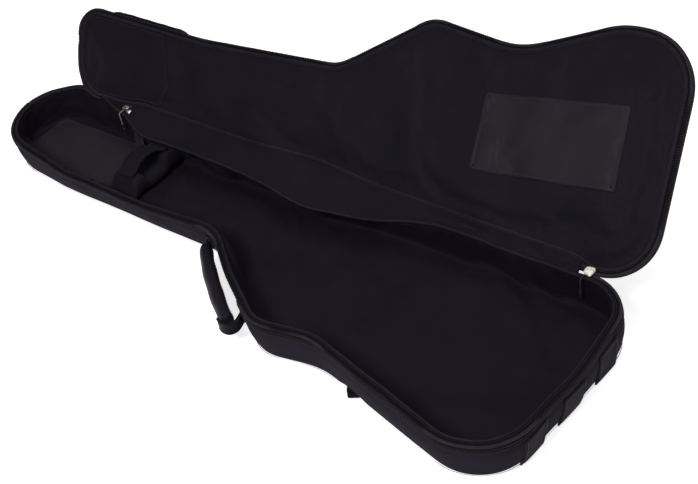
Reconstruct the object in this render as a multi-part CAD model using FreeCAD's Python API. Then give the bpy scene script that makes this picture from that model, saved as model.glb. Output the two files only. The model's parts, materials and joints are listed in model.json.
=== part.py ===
"""Padded gig bag for a bass guitar: a padded tray, a hinged padded lid and everything sewn to them.

Millimetres. The bag lies on its back. X runs along the bag, from the head end to the body end, Y from
the carry handle's side to the lid's hinge, and Z up. The origin is on the ground, under the middle of
the bag. The lid and what it carries are built shut, then turned open about the hinge line.
"""
import FreeCAD, Part
import math
import os

V = FreeCAD.Vector
UP = V(0, 0, 1)
ALONG = V(1, 0, 0)

# Outline of the bag, seen from above: each corner before rounding, then its radius.
HINGE_Y = 183.0
HEAD_X = -635.0
END_FAR_X = 626.0
END_NEAR_X, END_NEAR_Y = 589.0, -190.0
SIDE_X, SIDE_Y = 300.0, -124.0
SHOULDER_X, SHOULDER_Y = 130.0, -112.0
WAIST_X, WAIST_Y = -17.0, 5.0
HEAD_NEAR_Y = 18.0
HEAD_FAR_RADIUS = 75.0
HEAD_NEAR_RADIUS = 55.0
WAIST_RADIUS = 120.0
SHOULDER_RADIUS = 60.0
SIDE_RADIUS = 500.0
END_NEAR_RADIUS = 75.0
END_FAR_RADIUS = 70.0
CORNERS = [
    (HEAD_X, HINGE_Y, HEAD_FAR_RADIUS),
    (HEAD_X, HEAD_NEAR_Y, HEAD_NEAR_RADIUS),
    (WAIST_X, WAIST_Y, WAIST_RADIUS),
    (SHOULDER_X, SHOULDER_Y, SHOULDER_RADIUS),
    (SIDE_X, SIDE_Y, SIDE_RADIUS),
    (END_NEAR_X, END_NEAR_Y, END_NEAR_RADIUS),
    (END_FAR_X, HINGE_Y, END_FAR_RADIUS),
]

# Layers, from the outside in.
SHELL = 1.5
LINING = 1.5
BACK_FOAM = 17.0
WALL_FOAM = 9.0
LID_FOAM = 11.0
WALL = SHELL + WALL_FOAM + LINING
FLOOR_Z = SHELL + BACK_FOAM + LINING

# Rim of the tray, the zipper and the hinge line.
HINGE_Z = 82.0
PARTING = 0.3
COIL_RADIUS = 1.6
COIL_INSET = 1.6
TAPE = 1.2
TAPE_WIDTH = 9.0
PIPING_RADIUS = 2.2
PIPING_INSET = 11.0
LID_PIPING_GAP = 0.9
ZIP_HEAD_X = -425.0
ZIP_END_X = 535.0
LID_OPEN_ANGLE = 136.0

# Room round the hinge line that the zipper sliders run in.
SLIDER_NOTCH_RADIUS = 9.5
HEAD_SLIDER_TRAVEL = 130.0
END_SLIDER_TRAVEL = 12.0
NOTCH_MARGIN = 16.0

SLIDER_LENGTH, SLIDER_WIDTH, SLIDER_HEIGHT = 17.0, 13.0, 10.0
SLIDER_SLOT = 0.6
SLIDER_CORNER = 3.0
PULL_CORD_RADIUS = 1.2
PULL_GAP = 8.0
PULL_DROP = 36.0
PULL_CLEARANCE = 0.5

# Wear patches and bumpers.
PATCH = 1.2
BRIDGE_PATCH_LENGTH, BRIDGE_PATCH_WIDTH = 239.0, 127.0
BRIDGE_PATCH_X, BRIDGE_PATCH_Y = 416.0, 10.0
BRIDGE_PATCH_TURN = -9.0
HEAD_PATCH_FAR_X, HEAD_PATCH_NEAR_X = -300.0, -388.0
FLOOR_PATCH_X = -318.0
PATCH_EDGE_GAP = 1.0
BUMPER_WIDTH, BUMPER_HEIGHT, BUMPER_THICKNESS = 48.0, 60.0, 2.4
BUMPER_LOW_Z = 2.0
BUMPER_YS = {"near": -106.0, "middle": -22.0, "far": 70.0}

# Neck cradle and its strap.
CRADLE_X = -306.0
CRADLE_LENGTH = 70.0
CRADLE_TOP_Z = 62.0
GROOVE_Y = 95.0
GROOVE_WIDTH, GROOVE_DEPTH = 56.0, 16.0
CRADLE_SIDE_GAP = 0.5
STRAP_WIDTH, STRAP_THICKNESS = 42.0, 2.0
STRAP_ARCH_Z = 79.0
STRAP_ARCH_RADIUS = 9.0
STRAP_REACH = 40.0
STRAP_TAB = 16.0
STRAP_GAP = 0.4

# Carry handle on the near side, bridging the waist.
HANDLE_Z = 40.0
HANDLE_HEAD_X = -55.0
HANDLE_END_X = 104.0
HANDLE_REACH = 32.0
GRIP_RADIUS = 11.0
GRIP_START, GRIP_END = 0.13, 0.85
GRIP_END_REACH = 20.0
WEBBING_WIDTH, WEBBING_THICKNESS = 25.0, 3.0
ANCHOR_LENGTH, ANCHOR_HEIGHT, ANCHOR_THICKNESS = 34.0, 38.0, 2.4
ANCHOR_GAP = 0.4

# Shoulder straps, folded flat under the padded back, which their channels dent.
STRAP_PAD_WIDTH, STRAP_PAD_THICKNESS = 60.0, 8.0
STRAP_PAD_TOP_X, STRAP_PAD_LOW_X = -110.0, 245.0
STRAP_PADS = {"near": (72.0, 0.0), "far": (140.0, 148.0)}
STRAP_TAIL_X = 330.0
STRAP_TAIL_WIDTH, STRAP_TAIL_THICKNESS = 25.0, 3.0
STRAP_TAIL_OUT = 14.0
ADJUSTER_LENGTH, ADJUSTER_WIDTH, ADJUSTER_THICKNESS = 30.0, 36.0, 7.0
GROUND_GAP = 0.3
CHANNEL_GAP = 0.5

# Pockets on the outside of the lid, zipped shut.
POCKET_CORNER = 14.0
POCKET_SOFT_EDGE = 6.0
POCKET_PIPING_GAP = 0.4
BODY_POCKET = dict(x0=170.0, x1=560.0, y0=-100.0, y1=128.0, thick=26.0)
NECK_POCKET = dict(x0=-570.0, x1=-340.0, y0=9.0, y1=150.0, thick=20.0)
POCKET_ZIP_INSET = 34.0
POCKET_ZIP_WIDTH = 26.0
POCKET_ZIP_MARGIN = 22.0
POCKET_COIL = 3.0
POCKET_SLIDER_LENGTH, POCKET_SLIDER_WIDTH, POCKET_SLIDER_HEIGHT = 11.0, 9.0, 4.0
POCKET_SLIDER_START = 1.0
POCKET_SLIDER_CORNER = 2.0
POCKET_PULL_LENGTH = 30.0

# Heights of the lid's layers while it is shut.
LID_PIPING_Z = HINGE_Z + PARTING + PIPING_RADIUS
LID_FOAM_Z = LID_PIPING_Z + PIPING_RADIUS + LID_PIPING_GAP
LID_INNER_Z = LID_FOAM_Z - LINING
LID_SHELL_Z = LID_FOAM_Z + LID_FOAM
LID_TOP_Z = LID_SHELL_Z + SHELL
RIM_Z = HINGE_Z - 2 * COIL_RADIUS


def flat(point, z):
    return V(point.x, point.y, z)


def corner_arcs(inset):
    """For each corner of the outline moved in by inset: the two ends and the middle of its arc."""
    points = [V(x, y, 0) for x, y, radius in CORNERS]
    count = len(points)
    lines = []
    for i in range(count):
        run = (points[(i + 1) % count] - points[i]).normalize()
        inward = V(-run.y, run.x, 0)
        lines.append((points[i] + inward * inset, run))
    arcs = []
    for i in range(count):
        (a, before), (b, after) = lines[i - 1], lines[i]
        cross = before.x * after.y - before.y * after.x
        gap = b - a
        vertex = a + before * ((gap.x * after.y - gap.y * after.x) / cross)
        radius = CORNERS[i][2] - math.copysign(inset, cross)
        turn = math.acos(before.dot(after))
        reach = radius * math.tan(turn / 2)
        start, end = vertex - before * reach, vertex + after * reach
        inwards = (after - before).normalize()
        middle = vertex + inwards * (radius / math.cos(turn / 2) - radius)
        arcs.append((start, middle, end))
    return arcs


def edges_through(arcs, z):
    edges = []
    for i, (start, middle, end) in enumerate(arcs):
        edges.append(Part.Arc(flat(start, z), flat(middle, z), flat(end, z)).toShape())
        if i + 1 < len(arcs):
            edges.append(Part.LineSegment(flat(end, z), flat(arcs[i + 1][0], z)).toShape())
    return edges


def outline(inset, z):
    arcs = corner_arcs(inset)
    edges = edges_through(arcs, z)
    edges.append(Part.LineSegment(flat(arcs[-1][2], z), flat(arcs[0][0], z)).toShape())
    return Part.Wire(edges)


def zipper_path(inset, z):
    """The outline without the hinge: from the head-side end of the zipper round to its other end."""
    arcs = corner_arcs(inset)
    start = V(ZIP_HEAD_X, HINGE_Y - inset, z)
    end = V(ZIP_END_X, HINGE_Y - inset, z)
    edges = [Part.LineSegment(start, flat(arcs[0][0], z)).toShape()]
    edges += edges_through(arcs, z)
    edges.append(Part.LineSegment(flat(arcs[-1][2], z), end).toShape())
    return Part.Wire(edges)


def slab(inset, z0, z1):
    return Part.Face(outline(inset, z0)).extrude(V(0, 0, z1 - z0))


def ring(outer, inner, z0, z1):
    return slab(outer, z0, z1).cut(slab(inner, z0 - 1, z1 + 1))


def tube(path, radius):
    """A round tube along a wire that starts with a straight run or an arc's tangent."""
    first = path.Edges[0]
    start = first.valueAt(first.FirstParameter)
    tangent = first.tangentAt(first.FirstParameter)
    profile = Part.Wire(Part.Circle(start, tangent, radius).toShape())
    return path.makePipeShell([profile], True, False)


def box(x0, x1, y0, y1, z0, z1):
    return Part.makeBox(x1 - x0, y1 - y0, z1 - z0, V(x0, y0, z0))


def rounded_box(x0, x1, y0, y1, z0, z1, radius):
    """A box whose upright edges are rounded."""
    block = box(x0, x1, y0, y1, z0, z1)
    upright = [e for e in block.Edges if abs(e.tangentAt(e.FirstParameter).z) > 0.9]
    return block.makeFillet(radius, upright)


def bar(start, end, width, z0, z1):
    """A flat bar with square ends from start to end, seen from above."""
    run = (end - start).normalize()
    side = V(-run.y, run.x, 0) * (width / 2)
    corners = [start + side, start - side, end - side, end + side]
    face = Part.Face(Part.makePolygon([flat(p, z0) for p in corners + corners[:1]]))
    return face.extrude(V(0, 0, z1 - z0))


def hinge_bay():
    """The stretch of the rim between the zipper's two ends, where the hinge strip is."""
    depth = WALL + PIPING_RADIUS
    return box(ZIP_HEAD_X, ZIP_END_X, HINGE_Y - depth, HINGE_Y + 10, 0, HINGE_Z + 60)


def slider_rooms():
    """Clear room along the hinge line for the zipper sliders and their whole travel."""
    head_start = ZIP_HEAD_X - HEAD_SLIDER_TRAVEL - NOTCH_MARGIN
    head_room = Part.makeCylinder(
        SLIDER_NOTCH_RADIUS, ZIP_HEAD_X + NOTCH_MARGIN - head_start,
        V(head_start, HINGE_Y, HINGE_Z), ALONG)
    end_start = ZIP_END_X - NOTCH_MARGIN
    end_room = Part.makeCylinder(
        SLIDER_NOTCH_RADIUS, END_SLIDER_TRAVEL + 2 * NOTCH_MARGIN,
        V(end_start, HINGE_Y, HINGE_Z), ALONG)
    return [head_room, end_room]


def pull_rooms():
    """Clear room above the rim for the cords of the two pulls, with the lid shut."""
    depth = WALL + 2 * PIPING_RADIUS + PULL_GAP
    rooms = []
    for x0, x1 in (
        (ZIP_HEAD_X - HEAD_SLIDER_TRAVEL - NOTCH_MARGIN, ZIP_HEAD_X + NOTCH_MARGIN),
        (ZIP_END_X - NOTCH_MARGIN, ZIP_END_X + END_SLIDER_TRAVEL + NOTCH_MARGIN),
    ):
        rooms.append(box(x0, x1, HINGE_Y - depth, HINGE_Y + 1, HINGE_Z - 1, LID_INNER_Z))
    return rooms


def clear(shape, rooms):
    for room in rooms:
        shape = shape.cut(room)
    return shape


# ---------------------------------------------------------------- tray

def strap_lines():
    """Where each shoulder strap's pad and webbing tail run under the back: start, end, tail end."""
    slope = (END_NEAR_Y - SIDE_Y) / (END_NEAR_X - SIDE_X)
    edge_y = {"near": SIDE_Y + slope * (STRAP_TAIL_X - SIDE_X) - STRAP_TAIL_OUT,
              "far": HINGE_Y + STRAP_TAIL_OUT}
    lines = {}
    for side, (top_y, low_y) in STRAP_PADS.items():
        top = V(STRAP_PAD_TOP_X, top_y, 0)
        low = V(STRAP_PAD_LOW_X, low_y, 0)
        lines[side] = (top, low, V(STRAP_TAIL_X, edge_y[side], 0))
    return lines


def strap_channels(grow):
    """The dents that the shoulder straps press into the padded back, each side grown by grow."""
    channels = []
    for top, low, tail in strap_lines().values():
        run = (low - top).normalize() * grow
        channels.append(bar(top - run, low + run, STRAP_PAD_WIDTH + 2 * grow,
                            -1, STRAP_PAD_THICKNESS + GROUND_GAP + grow))
        run = (tail - low).normalize() * (grow + 1)
        channels.append(bar(low - run, tail + run, ADJUSTER_WIDTH + 2 * grow,
                            -1, ADJUSTER_THICKNESS + GROUND_GAP + grow))
    return channels


def back_shell():
    whole = clear(slab(0, 0, SHELL + BACK_FOAM), strap_channels(CHANNEL_GAP))
    return whole.cut(back_foam())


def back_foam():
    return clear(slab(SHELL, SHELL, SHELL + BACK_FOAM), strap_channels(CHANNEL_GAP + SHELL))


def floor_lining():
    return slab(SHELL + WALL_FOAM, SHELL + BACK_FOAM, FLOOR_Z)


def wall_shell():
    return ring(0, SHELL, SHELL + BACK_FOAM, RIM_Z - TAPE_WIDTH)


def wall_foam():
    return clear(ring(SHELL, SHELL + WALL_FOAM, SHELL + BACK_FOAM, RIM_Z - LINING), slider_rooms())


def wall_lining():
    return ring(SHELL + WALL_FOAM, WALL, FLOOR_Z, RIM_Z - LINING)


def rim_binding():
    """Tape bound over the top of the wall, from the zipper to the inner piping."""
    binding = ring(COIL_INSET + COIL_RADIUS, PIPING_INSET - PIPING_RADIUS, RIM_Z - LINING, RIM_Z)
    return clear(binding, slider_rooms())


def rim_piping():
    z = RIM_Z - LINING + PIPING_RADIUS
    return tube(outline(PIPING_INSET, z), PIPING_RADIUS)


def tray_zipper_tape():
    return ring(0, TAPE, RIM_Z - TAPE_WIDTH, RIM_Z).cut(hinge_bay())


def tray_zipper_coil():
    return tube(zipper_path(COIL_INSET, RIM_Z + COIL_RADIUS), COIL_RADIUS)


def hinge_strip_tray():
    """The tray's half of the fabric that joins the lid to it, between the sliders' rooms."""
    x0, x1 = ZIP_HEAD_X + NOTCH_MARGIN, ZIP_END_X - NOTCH_MARGIN
    return box(x0, x1, HINGE_Y - TAPE, HINGE_Y, RIM_Z - TAPE_WIDTH, HINGE_Z - PARTING)


def end_run():
    """Direction of the straight end wall, from the far corner to the near one."""
    return V(END_NEAR_X - END_FAR_X, END_NEAR_Y - HINGE_Y, 0).normalize()


def end_bumper(y):
    """A bound wear patch on the end wall, from just above the ground to under the rim."""
    run = end_run()
    outward = V(-run.y, run.x, 0)
    centre = V(END_FAR_X, HINGE_Y, 0) + run * ((y - HINGE_Y) / run.y)
    middle = centre + outward * (BUMPER_THICKNESS / 2)
    half = run * (BUMPER_WIDTH / 2)
    return bar(middle - half, middle + half, BUMPER_THICKNESS, BUMPER_LOW_Z,
               BUMPER_LOW_Z + BUMPER_HEIGHT)


def floor_head_patch():
    """Tougher cloth over the floor where the tuners would rub."""
    plate = slab(WALL + PATCH_EDGE_GAP, FLOOR_Z, FLOOR_Z + PATCH)
    return plate.common(box(HEAD_X - 10, FLOOR_PATCH_X - CRADLE_LENGTH / 2, -300, 300, 0, 100))


def cradle_sides():
    """The inner faces of the walls beside the cradle, near then far."""
    slope = (WAIST_Y - HEAD_NEAR_Y) / (WAIST_X - HEAD_X)
    widest = HEAD_NEAR_Y + slope * (CRADLE_X - CRADLE_LENGTH / 2 - HEAD_X)
    return widest + WALL + CRADLE_SIDE_GAP, HINGE_Y - WALL - CRADLE_SIDE_GAP


def neck_cradle():
    near, far = cradle_sides()
    x0, x1 = CRADLE_X - CRADLE_LENGTH / 2, CRADLE_X + CRADLE_LENGTH / 2
    block = box(x0, x1, near, far, FLOOR_Z, CRADLE_TOP_Z)
    half = GROOVE_WIDTH / 2
    radius = (half ** 2 + GROOVE_DEPTH ** 2) / (2 * GROOVE_DEPTH)
    groove = Part.makeCylinder(
        radius, CRADLE_LENGTH + 2,
        V(x0 - 1, GROOVE_Y, CRADLE_TOP_Z - GROOVE_DEPTH + radius), ALONG)
    return block.cut(groove)


def strap_tab(y):
    """A stitched tab on top of the cradle, for one end of the neck strap."""
    half = STRAP_WIDTH / 2
    return box(CRADLE_X - half, CRADLE_X + half, y - STRAP_TAB / 2, y + STRAP_TAB / 2,
               CRADLE_TOP_Z, CRADLE_TOP_Z + STRAP_THICKNESS)


def neck_strap():
    """The padded strap in its closed place: up from the far tab, over the neck, down to the near tab."""
    low = CRADLE_TOP_Z + STRAP_THICKNESS + STRAP_GAP
    far = GROOVE_Y + STRAP_REACH + STRAP_TAB / 2
    near = GROOVE_Y - STRAP_REACH - STRAP_TAB / 2
    rise_far, rise_near = GROOVE_Y + STRAP_REACH, GROOVE_Y - STRAP_REACH
    path = [(far, low), (rise_far - STRAP_TAB / 2, low), (GROOVE_Y + STRAP_ARCH_RADIUS * 2, STRAP_ARCH_Z),
            (GROOVE_Y - STRAP_ARCH_RADIUS * 2, STRAP_ARCH_Z), (rise_near + STRAP_TAB / 2, low), (near, low)]
    lower = [V(0, y, z) for y, z in path]
    upper = [V(0, y, z + STRAP_THICKNESS) for y, z in reversed(path)]
    face = Part.Face(Part.makePolygon(lower + upper + lower[:1]))
    face.translate(V(CRADLE_X - STRAP_WIDTH / 2, 0, 0))
    return face.extrude(V(STRAP_WIDTH, 0, 0))


# ---------------------------------------------------------------- carry handle

def near_wall(x):
    """The near wall beside the waist, before its corner is rounded: its outside at x, its two
    directions along and outwards."""
    if x < WAIST_X:
        run = V(WAIST_X - HEAD_X, WAIST_Y - HEAD_NEAR_Y, 0).normalize()
    else:
        run = V(SHOULDER_X - WAIST_X, SHOULDER_Y - WAIST_Y, 0).normalize()
    point = V(x, WAIST_Y + run.y / run.x * (x - WAIST_X), 0)
    return point, run, V(run.y, -run.x, 0)


def handle_end(x):
    """A point of the handle's turning line, off the wall by half the webbing's width, so that
    the webbing's rounded end turns beside its anchor."""
    point, run, outward = near_wall(x)
    return flat(point + outward * (ANCHOR_THICKNESS + ANCHOR_GAP + WEBBING_WIDTH / 2), HANDLE_Z)


def handle_anchor(x):
    """A webbing patch sewn flat to the wall where one end of the handle is fixed."""
    point, run, outward = near_wall(x)
    low, high = HANDLE_Z - ANCHOR_HEIGHT / 2, HANDLE_Z + ANCHOR_HEIGHT / 2
    layer = slab(-ANCHOR_THICKNESS, low, high).cut(slab(0, low - 1, high + 1))
    reach = outward * ANCHOR_LENGTH
    return layer.common(bar(point - reach, point + reach, ANCHOR_LENGTH, low, high))


def handle_points():
    """The handle's line: its two ends, the two ends of the grip and the grip's middle."""
    head, end = handle_end(HANDLE_HEAD_X), handle_end(HANDLE_END_X)
    span = (end - head).Length
    run = (end - head).normalize()
    outward = V(run.y, -run.x, 0)
    grip_head = head + run * (span * GRIP_START) + outward * GRIP_END_REACH
    grip_end = head + run * (span * GRIP_END) + outward * GRIP_END_REACH
    middle = head + run * (span * (GRIP_START + GRIP_END) / 2) + outward * HANDLE_REACH
    return head, grip_head, middle, grip_end, end


def handle_grip():
    head, grip_head, middle, grip_end, end = handle_points()
    return tube(Part.Wire(Part.Arc(grip_head, middle, grip_end).toShape()), GRIP_RADIUS)


def handle_webbing(first):
    """The flat webbing from one anchor to the grip, with a rounded end on the turning line."""
    head, grip_head, middle, grip_end, end = handle_points()
    start, stop = (head, grip_head) if first else (end, grip_end)
    half = WEBBING_WIDTH / 2
    strip = bar(start, stop, WEBBING_THICKNESS, HANDLE_Z - half, HANDLE_Z + half)
    run = (stop - start).normalize()
    side = V(-run.y, run.x, 0)
    rounded = Part.makeCylinder(half, WEBBING_THICKNESS, start - side * (WEBBING_THICKNESS / 2), side)
    return strip.fuse(rounded).removeSplitter().cut(handle_grip())


# ---------------------------------------------------------------- shoulder straps

def strap_pad(side):
    top, low, tail = strap_lines()[side]
    return bar(top, low, STRAP_PAD_WIDTH, GROUND_GAP, GROUND_GAP + STRAP_PAD_THICKNESS)


def adjuster_place(side):
    top, low, tail = strap_lines()[side]
    run = (tail - low).normalize()
    start = low + run * (STRAP_PAD_WIDTH / 3)
    return start, start + run * ADJUSTER_LENGTH, tail


def strap_adjuster(side):
    start, stop, tail = adjuster_place(side)
    body = bar(start, stop, ADJUSTER_WIDTH, GROUND_GAP, GROUND_GAP + ADJUSTER_THICKNESS)
    return body.cut(strap_pad(side)).cut(strap_tail(side))


def strap_tail(side):
    start, stop, tail = adjuster_place(side)
    middle = (start + stop) * 0.5
    z = GROUND_GAP + (ADJUSTER_THICKNESS - STRAP_TAIL_THICKNESS) / 2
    return bar(middle, tail, STRAP_TAIL_WIDTH, z, z + STRAP_TAIL_THICKNESS)


# ---------------------------------------------------------------- zipper sliders

def slider(x):
    """A zipper slider on the hinge line, slotted for the coil and tape of the tray."""
    half = SLIDER_LENGTH / 2
    body = rounded_box(x - half, x + half, HINGE_Y - SLIDER_WIDTH / 2, HINGE_Y + SLIDER_WIDTH / 2,
                       HINGE_Z - SLIDER_HEIGHT / 2, HINGE_Z + SLIDER_HEIGHT / 2, SLIDER_CORNER)
    slot = box(x - SLIDER_LENGTH, x + SLIDER_LENGTH,
               HINGE_Y - COIL_INSET - COIL_RADIUS - SLIDER_SLOT, HINGE_Y + SLIDER_SLOT,
               HINGE_Z - SLIDER_HEIGHT, HINGE_Z + SLIDER_SLOT)
    return body.cut(slot)


def pull(x):
    """A cord that hangs from its slider, with a round end there, over the rim and into the tray."""
    y0 = HINGE_Y - SLIDER_WIDTH / 2 - PULL_CLEARANCE - PULL_CORD_RADIUS
    y1 = HINGE_Y - WALL - PULL_GAP
    z0 = RIM_Z + 2 * PIPING_RADIUS - LINING + PULL_CORD_RADIUS + PULL_CLEARANCE
    bend = y1 + PULL_GAP / 2
    drop = V(x, y1, z0 - PULL_DROP)
    corner = math.sqrt(0.5) * (bend - y1)
    over = Part.LineSegment(V(x, y0, z0), V(x, bend, z0)).toShape()
    turn = Part.Arc(V(x, bend, z0), V(x, bend - corner, z0 - (bend - y1) + corner),
                    V(x, y1, z0 - (bend - y1))).toShape()
    down = Part.LineSegment(V(x, y1, z0 - (bend - y1)), drop).toShape()
    cord = tube(Part.Wire([over, turn, down]), PULL_CORD_RADIUS)
    return cord.fuse(Part.makeSphere(PULL_CORD_RADIUS, V(x, y0, z0)))


# ---------------------------------------------------------------- lid, built shut

def lid_zipper_coil():
    coil = tube(zipper_path(COIL_INSET, HINGE_Z + PARTING + COIL_RADIUS), COIL_RADIUS)
    return clear(coil, slider_rooms() + pull_rooms())


def lid_zipper_tape():
    low = HINGE_Z + PARTING + 2 * COIL_RADIUS
    tape = ring(0, TAPE, low, low + TAPE_WIDTH / 2)
    return clear(tape.cut(hinge_bay()), slider_rooms())


def hinge_strip_lid():
    x0, x1 = ZIP_HEAD_X + NOTCH_MARGIN, ZIP_END_X - NOTCH_MARGIN
    top = HINGE_Z + PARTING + 2 * COIL_RADIUS + TAPE_WIDTH / 2
    return box(x0, x1, HINGE_Y - TAPE, HINGE_Y, HINGE_Z + PARTING, top)


def lid_band():
    """The narrow outside band between the lid's zipper and its outer piping."""
    low = HINGE_Z + PARTING + 2 * COIL_RADIUS + TAPE_WIDTH / 2
    return clear(ring(0, SHELL, low, LID_SHELL_Z), slider_rooms())


def lid_foam():
    return clear(slab(SHELL, LID_FOAM_Z, LID_SHELL_Z), slider_rooms())


def lid_lining():
    return slab(PIPING_INSET + PIPING_RADIUS, LID_INNER_Z, LID_FOAM_Z)


def lid_shell():
    return slab(2 * PIPING_RADIUS, LID_SHELL_Z, LID_TOP_Z)


def lid_inner_piping():
    piping = tube(outline(PIPING_INSET, LID_PIPING_Z), PIPING_RADIUS)
    return clear(piping, pull_rooms())


def lid_outer_piping():
    return tube(outline(PIPING_RADIUS, LID_SHELL_Z + PIPING_RADIUS), PIPING_RADIUS)


def lid_bridge_patch():
    """Tougher cloth where the bridge would rub."""
    half_length, half_width = BRIDGE_PATCH_LENGTH / 2, BRIDGE_PATCH_WIDTH / 2
    plate = box(-half_length, half_length, -half_width, half_width, 0, PATCH)
    plate.rotate(V(0, 0, 0), UP, BRIDGE_PATCH_TURN)
    plate.translate(V(BRIDGE_PATCH_X, BRIDGE_PATCH_Y, LID_INNER_Z - PATCH))
    return plate


def lid_head_patch():
    plate = slab(PIPING_INSET + PIPING_RADIUS + PATCH_EDGE_GAP, LID_INNER_Z - PATCH, LID_INNER_Z)
    corners = [V(HEAD_X - 50, HINGE_Y + 50, 0), V(HEAD_PATCH_FAR_X, HINGE_Y + 50, 0),
               V(HEAD_PATCH_FAR_X, HINGE_Y, 0), V(HEAD_PATCH_NEAR_X, WAIST_Y, 0),
               V(HEAD_PATCH_NEAR_X, WAIST_Y - 50, 0), V(HEAD_X - 50, WAIST_Y - 50, 0)]
    mask = Part.Face(Part.makePolygon(corners + corners[:1])).extrude(V(0, 0, HINGE_Z * 2))
    return plate.common(mask)


def pocket(size):
    """A bellows pocket on the outside of the lid, with a soft upper edge, clear of the piping."""
    body = rounded_box(size["x0"], size["x1"], size["y0"], size["y1"],
                       LID_TOP_Z, LID_TOP_Z + size["thick"], POCKET_CORNER)
    top = max(body.Faces, key=lambda f: f.CenterOfMass.z)
    soft = body.makeFillet(POCKET_SOFT_EDGE, top.Edges)
    piping_top = LID_SHELL_Z + 2 * PIPING_RADIUS + POCKET_PIPING_GAP
    kept = slab(2 * PIPING_RADIUS + POCKET_PIPING_GAP, LID_TOP_Z, piping_top)
    above = box(size["x0"], size["x1"], size["y0"], size["y1"], piping_top, LID_TOP_Z + size["thick"])
    return soft.common(kept.fuse(above))


def pocket_zip_line(size):
    """Where a pocket's straight zipper runs: start x, end x, y and the height of the pocket's face."""
    x0 = size["x0"] + POCKET_ZIP_MARGIN
    x1 = size["x1"] - POCKET_ZIP_MARGIN
    return x0, x1, size["y0"] + POCKET_ZIP_INSET, LID_TOP_Z + size["thick"]


def pocket_zipper(size):
    x0, x1, y, z = pocket_zip_line(size)
    half = POCKET_ZIP_WIDTH / 2
    tape = box(x0, x1, y - half, y + half, z, z + TAPE)
    coil = box(x0, x1, y - POCKET_COIL / 2, y + POCKET_COIL / 2, z + TAPE, z + TAPE + COIL_RADIUS)
    return tape.fuse(coil)


def pocket_slider(size):
    x0, x1, y, z = pocket_zip_line(size)
    low = z + TAPE + PARTING
    half = POCKET_SLIDER_WIDTH / 2
    start = x0 + POCKET_SLIDER_START
    body = rounded_box(start, start + POCKET_SLIDER_LENGTH, y - half, y + half,
                       low, low + POCKET_SLIDER_HEIGHT, POCKET_SLIDER_CORNER)
    slot_half = POCKET_COIL / 2 + PARTING
    slot = box(x0, x0 + 2 * POCKET_SLIDER_LENGTH, y - slot_half, y + slot_half,
               low - 1, z + TAPE + COIL_RADIUS + PARTING)
    return body.cut(slot)


def pocket_pull(size):
    """A cord that lies along the pocket's zipper, with a round end on top of its slider."""
    x0, x1, y, z = pocket_zip_line(size)
    top = z + TAPE + PARTING + POCKET_SLIDER_HEIGHT
    start = V(x0 + POCKET_SLIDER_START + POCKET_SLIDER_LENGTH / 2, y,
              top + PULL_CLEARANCE + PULL_CORD_RADIUS)
    cord = Part.makeCylinder(PULL_CORD_RADIUS, POCKET_PULL_LENGTH, start, ALONG)
    return cord.fuse(Part.makeSphere(PULL_CORD_RADIUS, start))


def opened(shape):
    """The shape turned with the lid from shut to the place where the open lid stands."""
    shape.rotate(V(0, HINGE_Y, HINGE_Z), ALONG, -LID_OPEN_ANGLE)
    return shape


def tray_parts():
    parts = {
        "back_shell": back_shell(),
        "back_foam": back_foam(),
        "floor_lining": floor_lining(),
        "wall_shell": wall_shell(),
        "wall_foam": wall_foam(),
        "wall_lining": wall_lining(),
        "rim_binding": rim_binding(),
        "rim_piping": rim_piping(),
        "tray_zipper_tape": tray_zipper_tape(),
        "tray_zipper_coil": tray_zipper_coil(),
        "hinge_strip_tray": hinge_strip_tray(),
        "floor_head_patch": floor_head_patch(),
        "neck_cradle": neck_cradle(),
        "neck_strap_root": strap_tab(GROOVE_Y + STRAP_REACH),
        "neck_strap_catch": strap_tab(GROOVE_Y - STRAP_REACH),
        "handle_anchor_head": handle_anchor(HANDLE_HEAD_X),
        "handle_anchor_end": handle_anchor(HANDLE_END_X),
    }
    for place, y in BUMPER_YS.items():
        parts["end_bumper_" + place] = end_bumper(y)
    for side in STRAP_PADS:
        parts["shoulder_strap_" + side] = strap_pad(side)
        parts["strap_adjuster_" + side] = strap_adjuster(side)
        parts["strap_tail_" + side] = strap_tail(side)
    return parts


def moving_parts():
    return {
        "handle_grip": handle_grip(),
        "handle_webbing_head": handle_webbing(True),
        "handle_webbing_end": handle_webbing(False),
        "neck_strap": neck_strap(),
        "head_slider": slider(ZIP_HEAD_X),
        "head_pull": pull(ZIP_HEAD_X),
        "end_slider": slider(ZIP_END_X),
        "end_pull": pull(ZIP_END_X),
    }


def lid_parts():
    parts = {
        "lid_zipper_coil": lid_zipper_coil(),
        "lid_zipper_tape": lid_zipper_tape(),
        "hinge_strip_lid": hinge_strip_lid(),
        "lid_band": lid_band(),
        "lid_foam": lid_foam(),
        "lid_lining": lid_lining(),
        "lid_shell": lid_shell(),
        "lid_inner_piping": lid_inner_piping(),
        "lid_outer_piping": lid_outer_piping(),
        "lid_bridge_patch": lid_bridge_patch(),
        "lid_head_patch": lid_head_patch(),
    }
    for name, size in (("body_pocket", BODY_POCKET), ("neck_pocket", NECK_POCKET)):
        parts[name] = pocket(size)
        parts[name + "_zipper"] = pocket_zipper(size)
        parts[name + "_slider"] = pocket_slider(size)
        parts[name + "_pull"] = pocket_pull(size)
    return {name: opened(shape) for name, shape in parts.items()}


os.makedirs("parts", exist_ok=True)
for name, shape in {**tray_parts(), **moving_parts(), **lid_parts()}.items():
    solids = shape.Solids
    if not shape.isValid() or len(solids) == 0:
        raise ValueError(name + " is not a valid solid")
    print(f"{name:24s} solids {len(solids)}  volume {shape.Volume / 1000:9.1f} cm3")
    shape.exportStep("parts/" + name + ".step")
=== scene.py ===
"""Padded gig bag for a bass guitar, lying open on its back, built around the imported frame."""
import json
import math

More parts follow.
